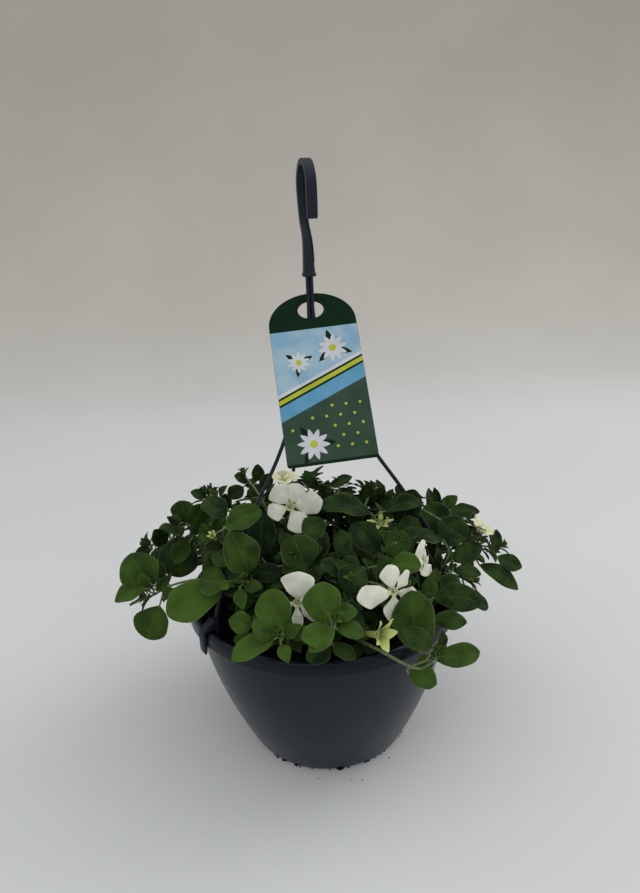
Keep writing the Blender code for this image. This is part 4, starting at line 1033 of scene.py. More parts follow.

# Listed leaves: foot and tip (x, y, z) in cm, the (azimuth, elevation) that the upper face
# looks to, width in cm and tone, 0 dark to 1 bright.
Leaf = namedtuple("Leaf", "foot tip faces width tone")
# Their tone is partly each leaf's own colour and partly painted light and shade.
SET_LEAVES = {
    "shoot_left_low": (
        ((-16.4, -4.2, 18.3), (-17.8, -3.5, 22.0), (278, 22), 3.7, 0.6),
        ((-16.5, -4.6, 18.8), (-19.3, -5.5, 18.1), (285, 62), 2.0, 0.8),
        ((-15.3, -5.2, 17.3), (-16.3, -6.6, 14.6), (270, 28), 3.4, 0.6),
        ((-15.5, -4.4, 18.3), (-14.6, -3.8, 19.4), (300, 20), 1.3, 0.4),
        ((-14.9, -5.0, 18.0), (-13.6, -5.5, 19.2), (285, 50), 1.2, 0.4),
        ((-16.1, -4.6, 19.4), (-16.6, -5.3, 20.9), (260, 30), 1.2, 0.9),
    ),
    "shoot_left_outer": (
        ((-16.0, 2.0, 19.8), (-16.6, 1.0, 22.2), (290, 30), 1.8, 0.4),
        ((-17.7, 2.7, 19.6), (-18.5, 2.5, 20.5), (290, 40), 0.8, 0.5),
        ((-17.5, 2.6, 19.2), (-19.1, 2.0, 19.2), (290, 50), 1.2, 0.5),
        ((-17.9, 2.4, 19.1), (-18.5, 1.5, 18.4), (280, 40), 1.2, 0.6),
    ),
    "shoot_left_high": (
        ((-13.3, 0.3, 23.1), (-13.7, 1.0, 25.2), (280, 15), 2.4, 0.5),
        ((-12.6, -0.6, 23.2), (-11.1, 0.0, 25.2), (300, 15), 2.1, 0.7),
        ((-12.8, -1.0, 21.6), (-14.1, -2.6, 20.2), (280, 40), 1.9, 1.0),
        ((-14.1, 0.4, 21.7), (-13.9, -1.5, 18.1), (275, 25), 4.0, 0.6),
        ((-13.9, 0.0, 22.9), (-14.9, 0.0, 24.0), (290, 40), 0.8, 0.5),
        ((-12.2, -1.0, 22.4), (-11.2, -1.5, 24.2), (310, 30), 1.2, 0.5),
    ),
    "shoot_left_front": (
        ((-10.3, -4.2, 23.9), (-10.6, -4.6, 25.3), (270, 20), 1.0, 0.6),
        ((-9.8, -3.8, 24.0), (-9.1, -3.4, 25.2), (290, 20), 1.2, 0.6),
        ((-9.6, -4.0, 23.2), (-8.2, -4.2, 24.1), (290, 40), 1.2, 0.5),
        ((-10.1, -4.4, 23.9), (-11.0, -5.0, 23.8), (270, 50), 0.8, 0.7),
        ((-8.8, -2.0, 24.5), (-11.1, 0.0, 25.6), (290, 45), 2.3, 0.4),
        ((-8.4, -6.2, 25.4), (-5.1, -5.6, 26.7), (275, 50), 2.4, 0.6),
        ((-8.0, -6.4, 25.3), (-6.3, -8.0, 21.8), (278, 25), 3.2, 0.4),
    ),
    "shoot_left_back": (
        ((-12.1, 7.0, 23.0), (-13.7, 6.5, 23.8), (280, 50), 1.3, 0.4),
        ((-10.5, 6.0, 21.6), (-9.9, 6.0, 23.7), (285, 20), 1.6, 0.4),
    ),
    "shoot_back_left": (
        ((-7.8, 9.0, 23.6), (-9.2, 8.6, 24.7), (275, 50), 1.3, 0.2),
        ((-6.9, 9.0, 23.7), (-6.6, 9.4, 25.6), (275, 20), 1.4, 0.3),
        ((-8.3, 8.6, 23.3), (-9.9, 7.6, 22.4), (275, 50), 1.9, 0.3),
        ((-7.6, 8.8, 23.4), (-6.3, 8.0, 22.3), (275, 50), 1.6, 0.3),
        ((-6.2, 8.5, 22.8), (-5.1, 9.0, 24.6), (275, 20), 1.5, 0.2),
    ),
    "shoot_front_left": (
        ((-7.0, -7.4, 21.8), (-6.8, -7.0, 24.2), (280, 15), 1.5, 0.8),
        ((-8.5, -7.8, 20.6), (-10.9, -7.0, 20.7), (275, 50), 2.7, 0.6),
        ((-8.1, -8.0, 21.1), (-9.0, -8.6, 20.7), (270, 50), 1.0, 0.8),
        ((-6.9, -8.2, 21.0), (-5.2, -9.0, 20.9), (280, 60), 1.3, 0.5),
        ((-7.2, -8.6, 20.8), (-6.9, -10.0, 19.5), (270, 50), 1.2, 0.7),
        ((-8.2, -7.0, 22.1), (-9.6, -6.0, 23.1), (280, 50), 1.6, 0.3),
        ((-9.0, -6.6, 19.8), (-14.0, -8.0, 18.1), (275, 42), 3.6, 1.0),
    ),
    "shoot_front_rim": (
        ((-3.9, -14.0, 19.6), (-5.7, -14.0, 20.8), (270, 45), 1.9, 0.6),
        ((-3.1, -13.6, 20.0), (-4.5, -12.6, 22.8), (272, 25), 2.9, 0.8),
        ((-4.0, -14.2, 19.3), (-7.4, -15.4, 18.3), (270, 50), 1.9, 1.0),
        ((-3.5, -14.4, 18.9), (-2.9, -15.6, 18.0), (275, 55), 1.1, 0.8),
        ((-5.9, -12.4, 19.3), (-7.8, -12.4, 20.1), (265, 40), 1.8, 0.7),
        ((-5.7, -13.0, 18.7), (-7.4, -13.4, 18.7), (265, 50), 1.4, 0.1),
        ((-3.3, -14.0, 19.4), (-1.8, -14.2, 20.5), (280, 50), 1.1, 0.6),
    ),
    "shoot_front": (
        ((0.1, -14.0, 20.3), (0.0, -13.0, 23.6), (270, 22), 3.1, 0.9),
        ((0.4, -14.6, 20.3), (-1.8, -15.6, 20.1), (268, 45), 2.0, 1.0),
        ((0.8, -14.8, 20.4), (-1.2, -16.2, 19.3), (255, 60), 1.6, 0.8),
        ((0.7, -14.2, 21.0), (2.7, -14.0, 21.4), (275, 50), 1.5, 0.6),
        ((1.0, -14.6, 20.2), (3.2, -15.0, 19.8), (280, 65), 1.6, 0.6),
        ((0.4, -14.0, 18.4), (-1.5, -15.4, 18.0), (262, 40), 1.8, 0.1),
        ((0.6, -14.0, 18.4), (2.4, -15.2, 17.8), (275, 66), 1.4, 0.2),
    ),
    "shoot_front_high": (
        ((-1.5, -8.6, 22.2), (-2.5, -7.4, 25.0), (272, 28), 3.3, 0.3),
        ((-6.2, -6.4, 21.0), (-3.6, -7.4, 21.2), (270, 45), 1.8, 0.0),
        ((0.5, -6.0, 25.6), (-1.5, -7.0, 24.7), (275, 40), 2.2, 0.3),
        ((-5.5, -4.0, 21.0), (-5.5, -1.5, 24.7), (275, 25), 2.8, 0.0),
    ),
    "shoot_middle_right": (
        ((5.1, 1.0, 22.9), (-0.1, 0.0, 24.4), (272, 62), 2.6, 0.4),
        ((5.0, -5.0, 21.4), (3.0, -3.0, 23.8), (280, 40), 2.6, 0.0),
        ((6.7, -5.2, 21.0), (7.1, -4.0, 23.6), (268, 20), 2.3, 0.5),
    ),
    "shoot_front_right": (
        ((2.1, -7.0, 22.2), (1.8, -5.6, 24.5), (270, 25), 1.6, 0.2),
        ((3.6, -8.0, 21.9), (1.8, -10.0, 20.9), (265, 35), 2.7, 0.1),
        ((6.1, -7.6, 21.9), (8.7, -8.0, 21.8), (270, 45), 2.1, 0.7),
        ((2.7, -13.0, 18.1), (2.6, -12.8, 20.6), (270, 20), 1.5, 0.2),
    ),
    "shoot_right_high": (
        ((6.0, -2.4, 24.6), (9.7, -2.8, 25.5), (268, 60), 1.8, 0.4),
        ((7.8, -1.4, 22.3), (9.0, -1.6, 26.4), (266, 22), 2.8, 0.3),
        ((7.0, -3.4, 23.0), (9.4, -3.6, 23.4), (262, 45), 2.2, 0.4),
        ((12.4, 1.0, 20.6), (10.9, 2.6, 23.0), (262, 30), 3.0, 0.5),
        ((11.7, 0.4, 22.3), (14.3, -0.6, 20.5), (262, 35), 3.1, 0.5),
    ),
    "shoot_right_outer": (
        ((13.6, 4.6, 21.2), (16.7, 4.2, 21.1), (262, 55), 1.6, 0.4),
        ((12.5, 5.0, 21.7), (12.1, 5.4, 23.6), (250, 10), 0.9, 0.3),
    ),
    "shoot_right_tip": (
        ((17.4, 1.0, 17.7), (17.7, 1.4, 20.4), (300, 20), 1.5, 0.4),
        ((17.7, 0.6, 17.7), (20.1, 0.0, 16.7), (262, 50), 1.8, 0.6),
        ((15.8, 0.0, 17.2), (19.4, -1.4, 15.0), (262, 58), 2.0, 0.7),
    ),
    "shoot_right_low": (
        ((12.8, -1.4, 18.5), (15.8, -0.8, 19.8), (262, 40), 2.1, 0.6),
        ((12.7, -2.0, 17.8), (15.4, -2.4, 17.5), (262, 60), 1.6, 0.5),
        ((10.6, -5.0, 17.8), (12.6, -5.0, 18.8), (262, 35), 1.6, 0.2),
        ((10.0, -6.0, 17.5), (14.5, -6.0, 16.6), (262, 35), 2.6, 0.2),
        ((13.6, -4.6, 17.2), (15.8, -4.0, 14.7), (300, 45), 1.6, 0.1),
        ((11.7, -2.4, 21.3), (8.1, -3.0, 21.9), (275, 80), 2.2, 0.5),
    ),
    "shoot_right_front": (
        ((7.8, -13.2, 16.7), (7.3, -11.6, 21.6), (268, 25), 3.6, 0.45),
        ((9.5, -9.0, 19.2), (9.1, -9.0, 21.2), (275, 10), 1.5, 0.5),
    ),
    "shoot_under_right": (
        ((9.7, -8.0, 16.5), (12.7, -8.6, 16.3), (262, 40), 1.7, 0.4),
    ),
    "shoot_right_trailing": (
        ((10.0, -10.2, 14.8), (10.2, -10.0, 16.5), (292, 20), 1.0, 0.3),
        ((8.6, -13.4, 17.0), (6.2, -13.8, 19.6), (262, 30), 1.7, 0.4),
        ((8.8, -12.2, 15.6), (7.6, -12.6, 15.2), (262, 45), 0.7, 0.8),
        ((8.9, -12.0, 15.1), (7.6, -12.4, 14.7), (262, 40), 0.8, 0.9),
        ((9.2, -11.6, 14.8), (8.4, -12.0, 14.0), (268, 40), 0.7, 0.6),
        ((9.6, -11.4, 15.2), (10.8, -11.4, 15.0), (280, 45), 0.8, 0.7),
        ((9.4, -11.2, 15.0), (10.4, -11.2, 15.9), (280, 45), 0.7, 0.6),
        ((9.5, -10.6, 14.0), (13.7, -9.6, 13.9), (265, 40), 2.1, 0.6),
        ((6.9, -12.8, 14.4), (9.3, -12.8, 13.2), (268, 35), 1.9, 0.6),
        ((9.6, -10.8, 14.2), (11.2, -10.6, 13.4), (262, 45), 0.9, 0.5),
    ),
    "shoot_right_back": (
        ((5.2, 7.0, 21.0), (5.0, 7.0, 23.7), (272, 10), 1.9, 0.5),
        ((6.2, 7.0, 22.0), (7.0, 7.0, 23.5), (280, 20), 0.9, 0.3),
    ),
    "shoot_back_right": (
        ((-0.2, 11.0, 21.7), (-1.6, 11.0, 24.0), (268, 50), 1.4, 0.1),
        ((1.2, 11.0, 21.9), (3.8, 11.0, 23.0), (268, 70), 1.8, 0.1),
        ((1.8, 10.6, 21.4), (4.0, 10.0, 21.4), (268, 75), 1.6, 0.1),
    ),
}

# Seen from the front these places, (x, y, z) and a radius in cm, stay free of leaves.
KEPT_OPEN = (
    ((-9.4, -9.6, 17.6), 1.9),
    ((-8.0, -10.4, 17.2), 1.7),
    ((-13.2, -2.0, 18.4), 1.0),
    ((0.0, -13.0, 16.3), 2.0),
    ((4.6, -12.4, 16.2), 2.0),
    ((-4.8, -12.4, 16.3), 1.6),
)

# A petal's turn is clockwise from up as its flower is looked into, in degrees. Its length, width
# and how far its tip stands forward are in cm.
Petal = namedtuple("Petal", "turn length width forward")


def even_petals(turn, length, width, forward):
    """Five petals of one size, the first at turn."""
    return tuple(Petal(72 * k + turn, length, width, forward) for k in range(5))


# A bloom's throat is (x, y, z) in cm and it looks along (azimuth, elevation). Its tube is behind
# the throat and mouth is the tube's radius there, both in cm. It grows from a share of its shoot.
Bloom = namedtuple("Bloom", "name shoot share throat looks tube mouth petals")
FLOWERS = (
    Bloom("flower_top", "shoot_middle", 0.80, (-2.7, -3.0, 25.8), (278, 30), 1.6, 0.40, (
        Petal(-32, 2.4, 2.2, 0.1), Petal(28, 2.3, 2.1, -0.1), Petal(86, 3.1, 2.2, -0.1),
        Petal(160, 2.7, 2.1, 0.5), Petal(-104, 2.2, 1.7, 0.2))),
    Bloom("flower_front", "shoot_front_high", 0.45, (-2.2, -11.3, 20.7), (262, 15), 1.6, 0.36, (
        Petal(4, 2.6, 2.9, -0.3), Petal(-108, 2.7, 1.6, -0.9), Petal(125, 2.4, 1.4, -0.3),
        Petal(176, 2.1, 1.0, 0.2), Petal(62, 1.3, 1.3, -1.0))),
    Bloom("flower_right", "shoot_front_right", 0.60, (5.9, -11.4, 21.4), (290, 15), 1.6, 0.34, (
        Petal(-4, 2.3, 1.9, -0.2), Petal(58, 2.3, 1.1, -0.8), Petal(110, 2.2, 1.3, 0.0),
        Petal(192, 2.5, 1.7, 0.2), Petal(-84, 3.6, 1.9, 0.6))),
    Bloom("flower_behind_right", "shoot_middle_right", 0.80, (9.4, -5.0, 20.7), (322, 12), 1.6, 0.34, (
        Petal(-8, 1.9, 2.5, 0.1), Petal(62, 1.3, 1.2, -0.4), Petal(118, 1.3, 1.2, -0.3),
        Petal(180, 1.5, 1.7, 0.2), Petal(-80, 1.4, 1.6, 0.1))),
    Bloom("flower_behind_top", "shoot_back", 0.40, (-3.6, 4.6, 25.6), (290, 70), 1.6, 0.50, (
        Petal(8, 0.8, 1.2, 0.5), Petal(80, 1.6, 1.4, 0.1), Petal(150, 1.0, 1.3, 0.2),
        Petal(-140, 1.0, 1.3, 0.3), Petal(-66, 1.3, 1.3, 0.4))),
    Bloom("flower_side", "shoot_right_outer", 0.80, (16.3, 1.6, 20.4), (345, 62), 2.2, 0.62, (
        Petal(0, 1.3, 1.2, 0.5), Petal(72, 1.5, 1.3, 0.4), Petal(145, 1.5, 1.3, 0.2),
        Petal(-142, 1.3, 1.2, 0.4), Petal(-70, 1.2, 1.2, 0.6))),
)
BUDS = (
    Bloom("bud_middle", "shoot_middle_right", 0.58, (5.7, -2.0, 23.2), (278, 76), 1.7, 0.40, (
        Petal(14, 1.2, 0.5, 0.5), Petal(80, 1.4, 0.5, 0.1), Petal(140, 0.9, 0.6, 0.1),
        Petal(-150, 1.0, 0.5, 0.1), Petal(-78, 1.3, 0.5, 0.3))),
    Bloom("bud_front", "shoot_front", 0.70, (4.3, -14.3, 19.3), (326, 10), 1.8, 0.42, (
        Petal(-12, 1.5, 0.9, 0.6), Petal(48, 1.5, 0.9, 0.9), Petal(105, 1.5, 1.0, 0.9),
        Petal(172, 1.6, 1.1, 0.5), Petal(-98, 1.1, 0.9, 0.4))),
    Bloom("bud_left", "shoot_left_front", 0.85, (-9.6, -5.6, 24.4), (250, 50), 1.2, 0.16,
          even_petals(15, 0.4, 0.26, 0.4)),
    Bloom("bud_left_back", "shoot_left_back", 0.80, (-11.2, 5.0, 24.7), (170, 60), 1.2, 0.16,
          even_petals(0, 0.4, 0.25, 0.5)),
    Bloom("bud_trailing", "shoot_right_trailing", 0.80, (9.1, -12.9, 16.6), (285, 70), 1.0, 0.18,
          even_petals(30, 0.35, 0.22, 0.6)),
)
# Painted light: these blooms get cream petals, the glow of light through petals lit from behind.
BACKLIT_CREAM_FLOWERS = ("flower_behind_top", "flower_side")
GREEN_BUDS = ("bud_left_back", "bud_trailing")


def outline_share(form, along):
    """How wide a blade is at a share of its length, 1 at its widest."""
    widest = form.swell / (form.swell + form.taper)
    peak = widest**form.swell * (1 - widest) ** form.taper
    return along**form.swell * (1 - along) ** form.taper / peak


def make_blade(foot, tip, faces, width, form, phase, grid):
    """A leaf, petal or sepal from foot to tip that looks to faces. phase varies its ripples."""
    rows, columns = grid
    ahead = tip - foot
    length = ahead.length
    ahead.normalize()
    normal = (faces - faces.dot(ahead) * ahead).normalized()
    side = ahead.cross(normal)
    alongs = [0.5 - 0.5 * math.cos(math.pi * i / rows) for i in range(rows)]
    top = []
    bottom = []
    for along in alongs:
        bow = 4 * along * (1 - along) * length
        spine = foot + along * length * ahead + form.arch * bow * normal + form.bend * bow * side
        over = []
        under = []
        for j in range(columns):
            out = 2 * j / (columns - 1) - 1
            turn = phase + (2.2 if out > 0 else 0.0)  # so that the two halves differ
            uneven = 1 + form.ragged * math.sin(11 * along + 2 * turn)
            half = max(width / 2 * outline_share(form, along) * uneven, form.foot)
            lift = half * (form.fold * abs(out) ** 1.15 - form.curl * out**4)
            lift += form.wave * length * out * out * math.sin(9 * along + turn) * math.sin(math.pi * along)
            place = spine + out * half * side + lift * normal
            thick = form.thickness / 2 * math.sqrt(1 - out * out)
            over.append(place + thick * normal)
            under.append(place - thick * normal)
        top.append(over)
        bottom.append(under)
    return Blade(top, bottom, alongs, foot + length * ahead)


def blade_shape(blade):
    """The upper face of a blade as (places, faces)."""
    columns = len(blade.top[0])
    places = [place for row in blade.top for place in row] + [blade.tip]
    faces = []
    for i in range(len(blade.top) - 1):
        for j in range(columns - 1):
            first = i * columns + j
            faces.append((first, first + 1, first + columns + 1, first + columns))
    last = (len(blade.top) - 1) * columns
    faces += [(last + j, last + j + 1, len(places) - 1) for j in range(columns - 1)]
    return places, faces


def box_of(places):
    low = [min(place[i] for place in places) for i in range(3)]
    return low, [max(place[i] for place in places) for i in range(3)]


class Room:
    """What is grown already, and what has to stay in view from the front."""

    def __init__(self):
        self.grown = []
        self.shown_places = []
        self.shown_faces = []
        self.shown = None

    def add(self, places, faces, shown=False):
        self.grown.append((BVHTree.FromPolygons(places, faces), *box_of(places)))
        if shown:
            start = len(self.shown_places)
            self.shown_places += places
            self.shown_faces += [tuple(start + k for k in face) for face in faces]

    def add_piece(self, piece):
        places = [vertex.co.copy() for vertex in piece.data.vertices]
        self.add(places, [tuple(polygon.vertices) for polygon in piece.data.polygons])

    def taken(self, places, faces):
        """Whether a shape cuts into something that is grown already."""
        tree = BVHTree.FromPolygons(places, faces)
        low, high = box_of(places)
        for other, other_low, other_high in self.grown:
            apart = any(low[i] > other_high[i] or high[i] < other_low[i] for i in range(3))
            if not apart and tree.overlap(other):
                return True
        return False

    def hides(self, places):
        """Whether places stand between the camera and something that is shown, or a kept opening."""
        if self.shown is None:
            self.shown = BVHTree.FromPolygons(self.shown_places, self.shown_faces)
        for place in places[::3]:
            way = (place - EYE).normalized()
            if self.shown.ray_cast(place + 1 * MM * way, way, HIDDEN_DEPTH)[0] is not None:
                return True
            for centre, radius in KEPT_OPEN:
                target = Vector(centre) * CM
                away = target - EYE
                nearest = (place - EYE).dot(away.normalized())
                beside = (place - EYE) - nearest * away.normalized()
                if nearest < away.length and beside.length < radius * CM:
                    return True
        return False

    def outside_crown(self, places):
        """Whether places leave the crown's dome, or hang where the pot's rim stays in view."""
        for place in places[::3]:
            out = math.hypot(place.x, place.y)
            if (out / CROWN_REACH) ** 2 + (max(place.z - CROWN_FOOT, 0) / CROWN_RISE) ** 2 > 1:
                return True
            if out > RIM_REACH and place.z < (FRONT_HANG if place.y < BEHIND else BACK_HANG):
                return True
        return False


def shoot_path(shoot):
    return smooth_path([polar(a, r * CM, z * CM) for a, r, z in shoot.path], 6)


def stem_radius(share):
    return STEM_RADIUS + (STEM_TIP_RADIUS - STEM_RADIUS) * share


def add_midrib(sheaf, blade, radius):
    """A rib under the blade's middle that thins out towards its tip."""
    middle = len(blade.top[0]) // 2
    path = [row[middle] for row in blade.bottom[1:-1]]
    radii = [radius * (1 - 0.75 * i / len(path)) for i in range(len(path))]
    sheaf.tube(path, radii, 5, LEAF_SLOT, 2.9)


def add_petiole(sheaf, path, foot, blade_way, thick):
    """A leaf's stalk: from the stem a little below the leaf, bending into the blade."""
    lengths = [(place - foot).length for place in path]
    nearest = min(range(len(path)), key=lambda k: lengths[k])
    start = path[max(nearest - (1 if lengths[nearest] > 6 * MM else 0), 0)]
    reach = (foot - start).length
    if reach < 1.5 * MM:
        return
    bend = foot - 0.35 * reach * blade_way
    end = foot + 1.5 * MM * blade_way
    route = smooth_path([start, start.lerp(bend, 0.6), foot, end], 4)
    radii = [thick * (1 - 0.3 * i / len(route)) for i in range(len(route))]
    sheaf.tube(route, radii, 7, STEM_SLOT, 0.6)


def turned(vector, degrees, axis):
    return Matrix.Rotation(math.radians(degrees), 3, axis) @ vector


def ruled_leaf(room, base, along, around, size, rng):
    """A leaf grown by rule that is clear of the rest, as (foot, tip, faces, width), or None."""
    side = along.cross(UP).normalized()
    out = math.cos(around) * side + math.sin(around) * side.cross(along)
    for shorter in (1.0, 0.8, 0.6):
        for turn in (0, 30, -30, 60):
            way = turned(out, turn, along) + 0.45 * along + 0.22 * UP
            way.normalize()
            length = size * CM * shorter * rng.uniform(0.9, 1.1)
            foot = base + rng.uniform(4, 9) * MM * way
            sag = Vector((0, 0, rng.uniform(-0.25, 0.05) * length))
            tip = foot + length * way + sag
            flat = Vector((foot.x, foot.y, 0)).normalized()
            faces = 0.9 * UP + 0.5 * flat + 0.25 * Vector((rng.uniform(-1, 1), rng.uniform(-1, 1), 0))
            width = length * rng.uniform(0.58, 0.8)
            blade = make_blade(foot, tip, faces, width * 1.05, LEAF_FORM, 0.0, TRIAL_GRID)
            places, shape = blade_shape(blade)
            if not (room.outside_crown(places) or room.hides(places) or room.taken(places, shape)):
                return foot, tip, faces, width
    return None


def natural_form(width, rng):
    """A leaf form that differs from leaf to leaf; small leaves are more pointed. width is in cm."""
    form = YOUNG_FORM if width < POINTED_WIDTH else LEAF_FORM
    if POINTED_WIDTH <= width < ROUND_WIDTH:
        form = form._replace(taper=0.76)
    return form._replace(
        arch=rng.uniform(0.02, 0.11),
        bend=rng.uniform(-0.07, 0.07),
        fold=form.fold * rng.uniform(0.5, 1.35),
        wave=form.wave * rng.uniform(0.5, 1.5),
    )


def add_set_leaf(sheaf, room, path, leaf, rng):
    """A listed leaf, which nothing that grows later may hide."""
    foot = Vector(leaf.foot) * CM
    tip = Vector(leaf.tip) * CM
    faces = direction(*leaf.faces)
    form = natural_form(leaf.width, rng)
    blade = make_blade(foot, tip, faces, leaf.width * CM, form, rng.uniform(0, 6), SHOWN_GRID)
    # Painted shade: a listed leaf behind the front row is made darker.
    sheaf.blade(blade, LEAF_SLOT, leaf.tone * (PAINTED_BACK_SHADE if foot.y > FRONT_ROW else 1.0))
    add_midrib(sheaf, blade, 0.55 * MM)
    add_petiole(sheaf, path, foot, (tip - foot).normalized(), 1.0 * MM)
    room.add(*blade_shape(blade), shown=True)


def add_ruled_leaf(sheaf, room, path, share, around, size, rng):
    """A leaf that grows by rule, if there is room for it."""
    base, along = point_on(path, share)
    grown = ruled_leaf(room, base, along, around, size, rng)
    if grown is None:
        return
    foot, tip, faces, width = grown
    large = width > POINTED_WIDTH * CM
    grid = LARGE_GRID if large else SMALL_GRID
    form = natural_form(width / CM, rng)
    blade = make_blade(foot, tip, faces, width, form, rng.uniform(0, 6), grid)
    sheaf.blade(blade, LEAF_SLOT, rng.uniform(0.0, 0.55))
    add_midrib(sheaf, blade, 0.5 * MM if large else 0.3 * MM)
    add_petiole(sheaf, path, foot, (tip - foot).normalized(), 0.9 * MM if large else 0.6 * MM)
    room.add(*blade_shape(blade))


def add_rosette(sheaf, room, tip, along, rng):
    """Small folded leaves crowded round a shoot's tip, the youngest upright."""
    axis = (along + 0.5 * UP).normalized()
    side = axis.cross(UP).normalized()
    for k in range(ROSETTE_LEAVES):
        around = GOLDEN_ANGLE * k + rng.uniform(-0.3, 0.3)
        out = math.cos(around) * side + math.sin(around) * side.cross(axis)
        open_by = math.radians(12 + 76 * k / ROSETTE_LEAVES)
        way = (math.cos(open_by) * axis + math.sin(open_by) * out + 0.12 * UP).normalized()
        length = (5.0 + 0.75 * k) * MM * rng.uniform(0.85, 1.2)
        foot = tip + (4.5 - 0.5 * k) * MM * axis + 0.6 * MM * way
        faces = axis + 0.3 * UP - 0.35 * out
        width = length * rng.uniform(0.42, 0.6)
        blade = make_blade(foot, foot + length * way, faces, width, YOUNG_FORM, k, YOUNG_GRID)
        places, shape = blade_shape(blade)
        if length > 11 * MM and room.hides(places):
            continue
        room.add(places, shape)
        sheaf.blade(blade, YOUNG_SLOT, rng.uniform(0.0, 0.9))


class Face:
    """Where a bloom's throat is and the ways it looks, to its right and up."""

    def __init__(self, bloom):
        self.throat = Vector(bloom.throat) * CM
        self.looks = direction(*bloom.looks)
        self.right = UP.cross(self.looks).normalized()
        self.up = self.looks.cross(self.right)
        self.back = self.throat - bloom.tube * CM * self.looks

    def out(self, angle):
        """The way out from the throat at an angle clockwise from up."""
        return math.cos(angle) * self.up + math.sin(angle) * self.right


def add_funnel(sheaf, bloom, face, sides=20):
    """The tube, wider towards its mouth, from its neck up outside and down again inside."""
    mouth = bloom.mouth * CM
    neck = min(1.8 * MM, mouth)
    # share of the tube's length, radius, and how far along its colours are
    levels = (
        (0.0, neck * 0.9, 0.0),
        (0.35, neck, 0.05),
        (0.62, neck + 0.12 * mouth, 0.12),
        (0.85, 0.62 * mouth, 0.2),
        (1.0, mouth, 0.3),
        (1.0, mouth - 0.3 * MM, 0.3),
        (0.85, 0.62 * mouth - 0.4 * MM, 0.16),
        (0.6, neck * 0.6, 0.05),
        (0.35, neck * 0.5, 0.0),
    )
    rings = []
    for share, radius, _ in levels:
        centre = face.throat + (share - 1) * (bloom.tube * CM) * face.looks
        ring = []
        for k in range(sides):
            angle = math.tau * k / sides
            ribbed = radius * (1 + 0.05 * math.cos(5 * angle))
            ring.append(centre + ribbed * face.out(angle))
        rings.append(ring)
    sheaf.rings(rings, COROLLA_SLOT, alongs=[along for _, _, along in levels])


def add_petals(sheaf, bloom, face, form, room):
    for k, petal in enumerate(bloom.petals):
        out = face.out(math.radians(petal.turn))
        length = petal.length * CM
        foot = face.throat + 0.75 * bloom.mouth * CM * out + (0.25 * k - 0.6) * MM * face.looks
        tip = face.throat + length * out + petal.forward * CM * face.looks
        faces = turned(face.looks, 7, out)
        blade = make_blade(foot, tip, faces, petal.width * CM, form, 1.7 * k, SHOWN_GRID)
        sheaf.blade(blade, COROLLA_SLOT, 0.5)
        room.add(*blade_shape(blade), shown=True)


def add_calyx(sheaf, face, reach, ahead):
    """Five narrow sepals round a small knob behind the tube."""
    looks = face.looks
    for k in range(5):
        out = face.out(math.tau * (k + 0.3) / 5)
        foot = face.back + 1.2 * MM * out - 1 * MM * looks
        tip = face.back + reach * out + ahead * looks
        sepal = make_blade(foot, tip, -out + 0.3 * looks, 3 * MM, SEPAL_FORM, k, SEPAL_GRID)
        sheaf.blade(sepal, CALYX_SLOT, 0.6)
    knob = [face.back + step * MM * looks for step in (-2.4, -0.8, 1)]
    sheaf.tube(knob, [1.1 * MM, 2.1 * MM, 1.7 * MM], 10, CALYX_SLOT, 0.6)


def add_stamens(sheaf, face):
    """Five threads in the throat, each with a bead at its end."""
    looks = face.looks
    for k in range(5):
        out = face.out(math.tau * k / 5)
        start = face.throat - 8 * MM * looks
        end = face.throat - (1.0 + 0.5 * k) * MM * looks + 1.3 * MM * out
        thread = [start, start.lerp(end, 0.5) + 0.4 * MM * out, end]
        sheaf.tube(thread, [0.25 * MM] * 3, 5, STAMEN_SLOT, 0.3)
        bead = [end + step * 0.5 * MM * looks for step in range(4)]
        sheaf.tube(bead, [0.2 * MM, 0.75 * MM, 0.75 * MM, 0.2 * MM], 7, STAMEN_SLOT, 1.0)


def make_bloom(bloom, room, finishes, young):
    """Tube, five separate petals, calyx and stamens."""
    face = Face(bloom)
    sheaf = Sheaf()
    add_funnel(sheaf, bloom, face)
    add_petals(sheaf, bloom, face, LOBE_FORM if young else PETAL_FORM, room)
    if young:
        add_calyx(sheaf, face, 5 * MM, 9 * MM)
    else:
        add_calyx(sheaf, face, 7 * MM, 11 * MM)
    if bloom.mouth > OPEN_MOUTH:
        add_stamens(sheaf, face)
    piece = sheaf.piece(bloom.name + "_grown", finishes, sharp=70)
    stands_for(piece, "bud" if young else "petal", bloom.name)


def stalk_route(bloom, path):
    start, along = point_on(path, bloom.share)
    looks = direction(*bloom.looks)
    end = Vector(bloom.throat) * CM - (bloom.tube * CM + 1.6 * MM) * looks
    neck = end - 4 * MM * looks
    middle = (start + neck) / 2 + 0.2 * (neck - start).length * along
    return smooth_path([start, middle, neck, end], 6)


def start_shoot(shoot, path, room, rng):
    """A shoot's stem, the stalks of its blooms and its listed leaves."""
    sheaf = Sheaf()
    last = len(path) - 1
    sheaf.tube(path, [stem_radius(i / last) for i in range(last + 1)], 9, STEM_SLOT)
    for bloom in FLOWERS + BUDS:
        if bloom.shoot == shoot.name:
            route = stalk_route(bloom, path)
            sheaf.tube(route, [STALK_RADIUS] * len(route), 8, STEM_SLOT, 0.7)
    for row in SET_LEAVES.get(shoot.name, ()):
        add_set_leaf(sheaf, room, path, Leaf(*row), rng)
    return sheaf


def grow_shoot(shoot, path, sheaf, room, rng):
    """The rosette at a shoot's tip and the leaves along it."""
    add_rosette(sheaf, room, *point_on(path, 1.0), rng)
    for k in range(shoot.leaves):
        share = 0.28 + 0.66 * k / (shoot.leaves - 1)
        size = shoot.size * (1 - 0.4 * abs(share - 0.5) / 0.5)
        around = GOLDEN_ANGLE * k + rng.uniform(-0.4, 0.4)
        add_ruled_leaf(sheaf, room, path, share, around, size, rng)


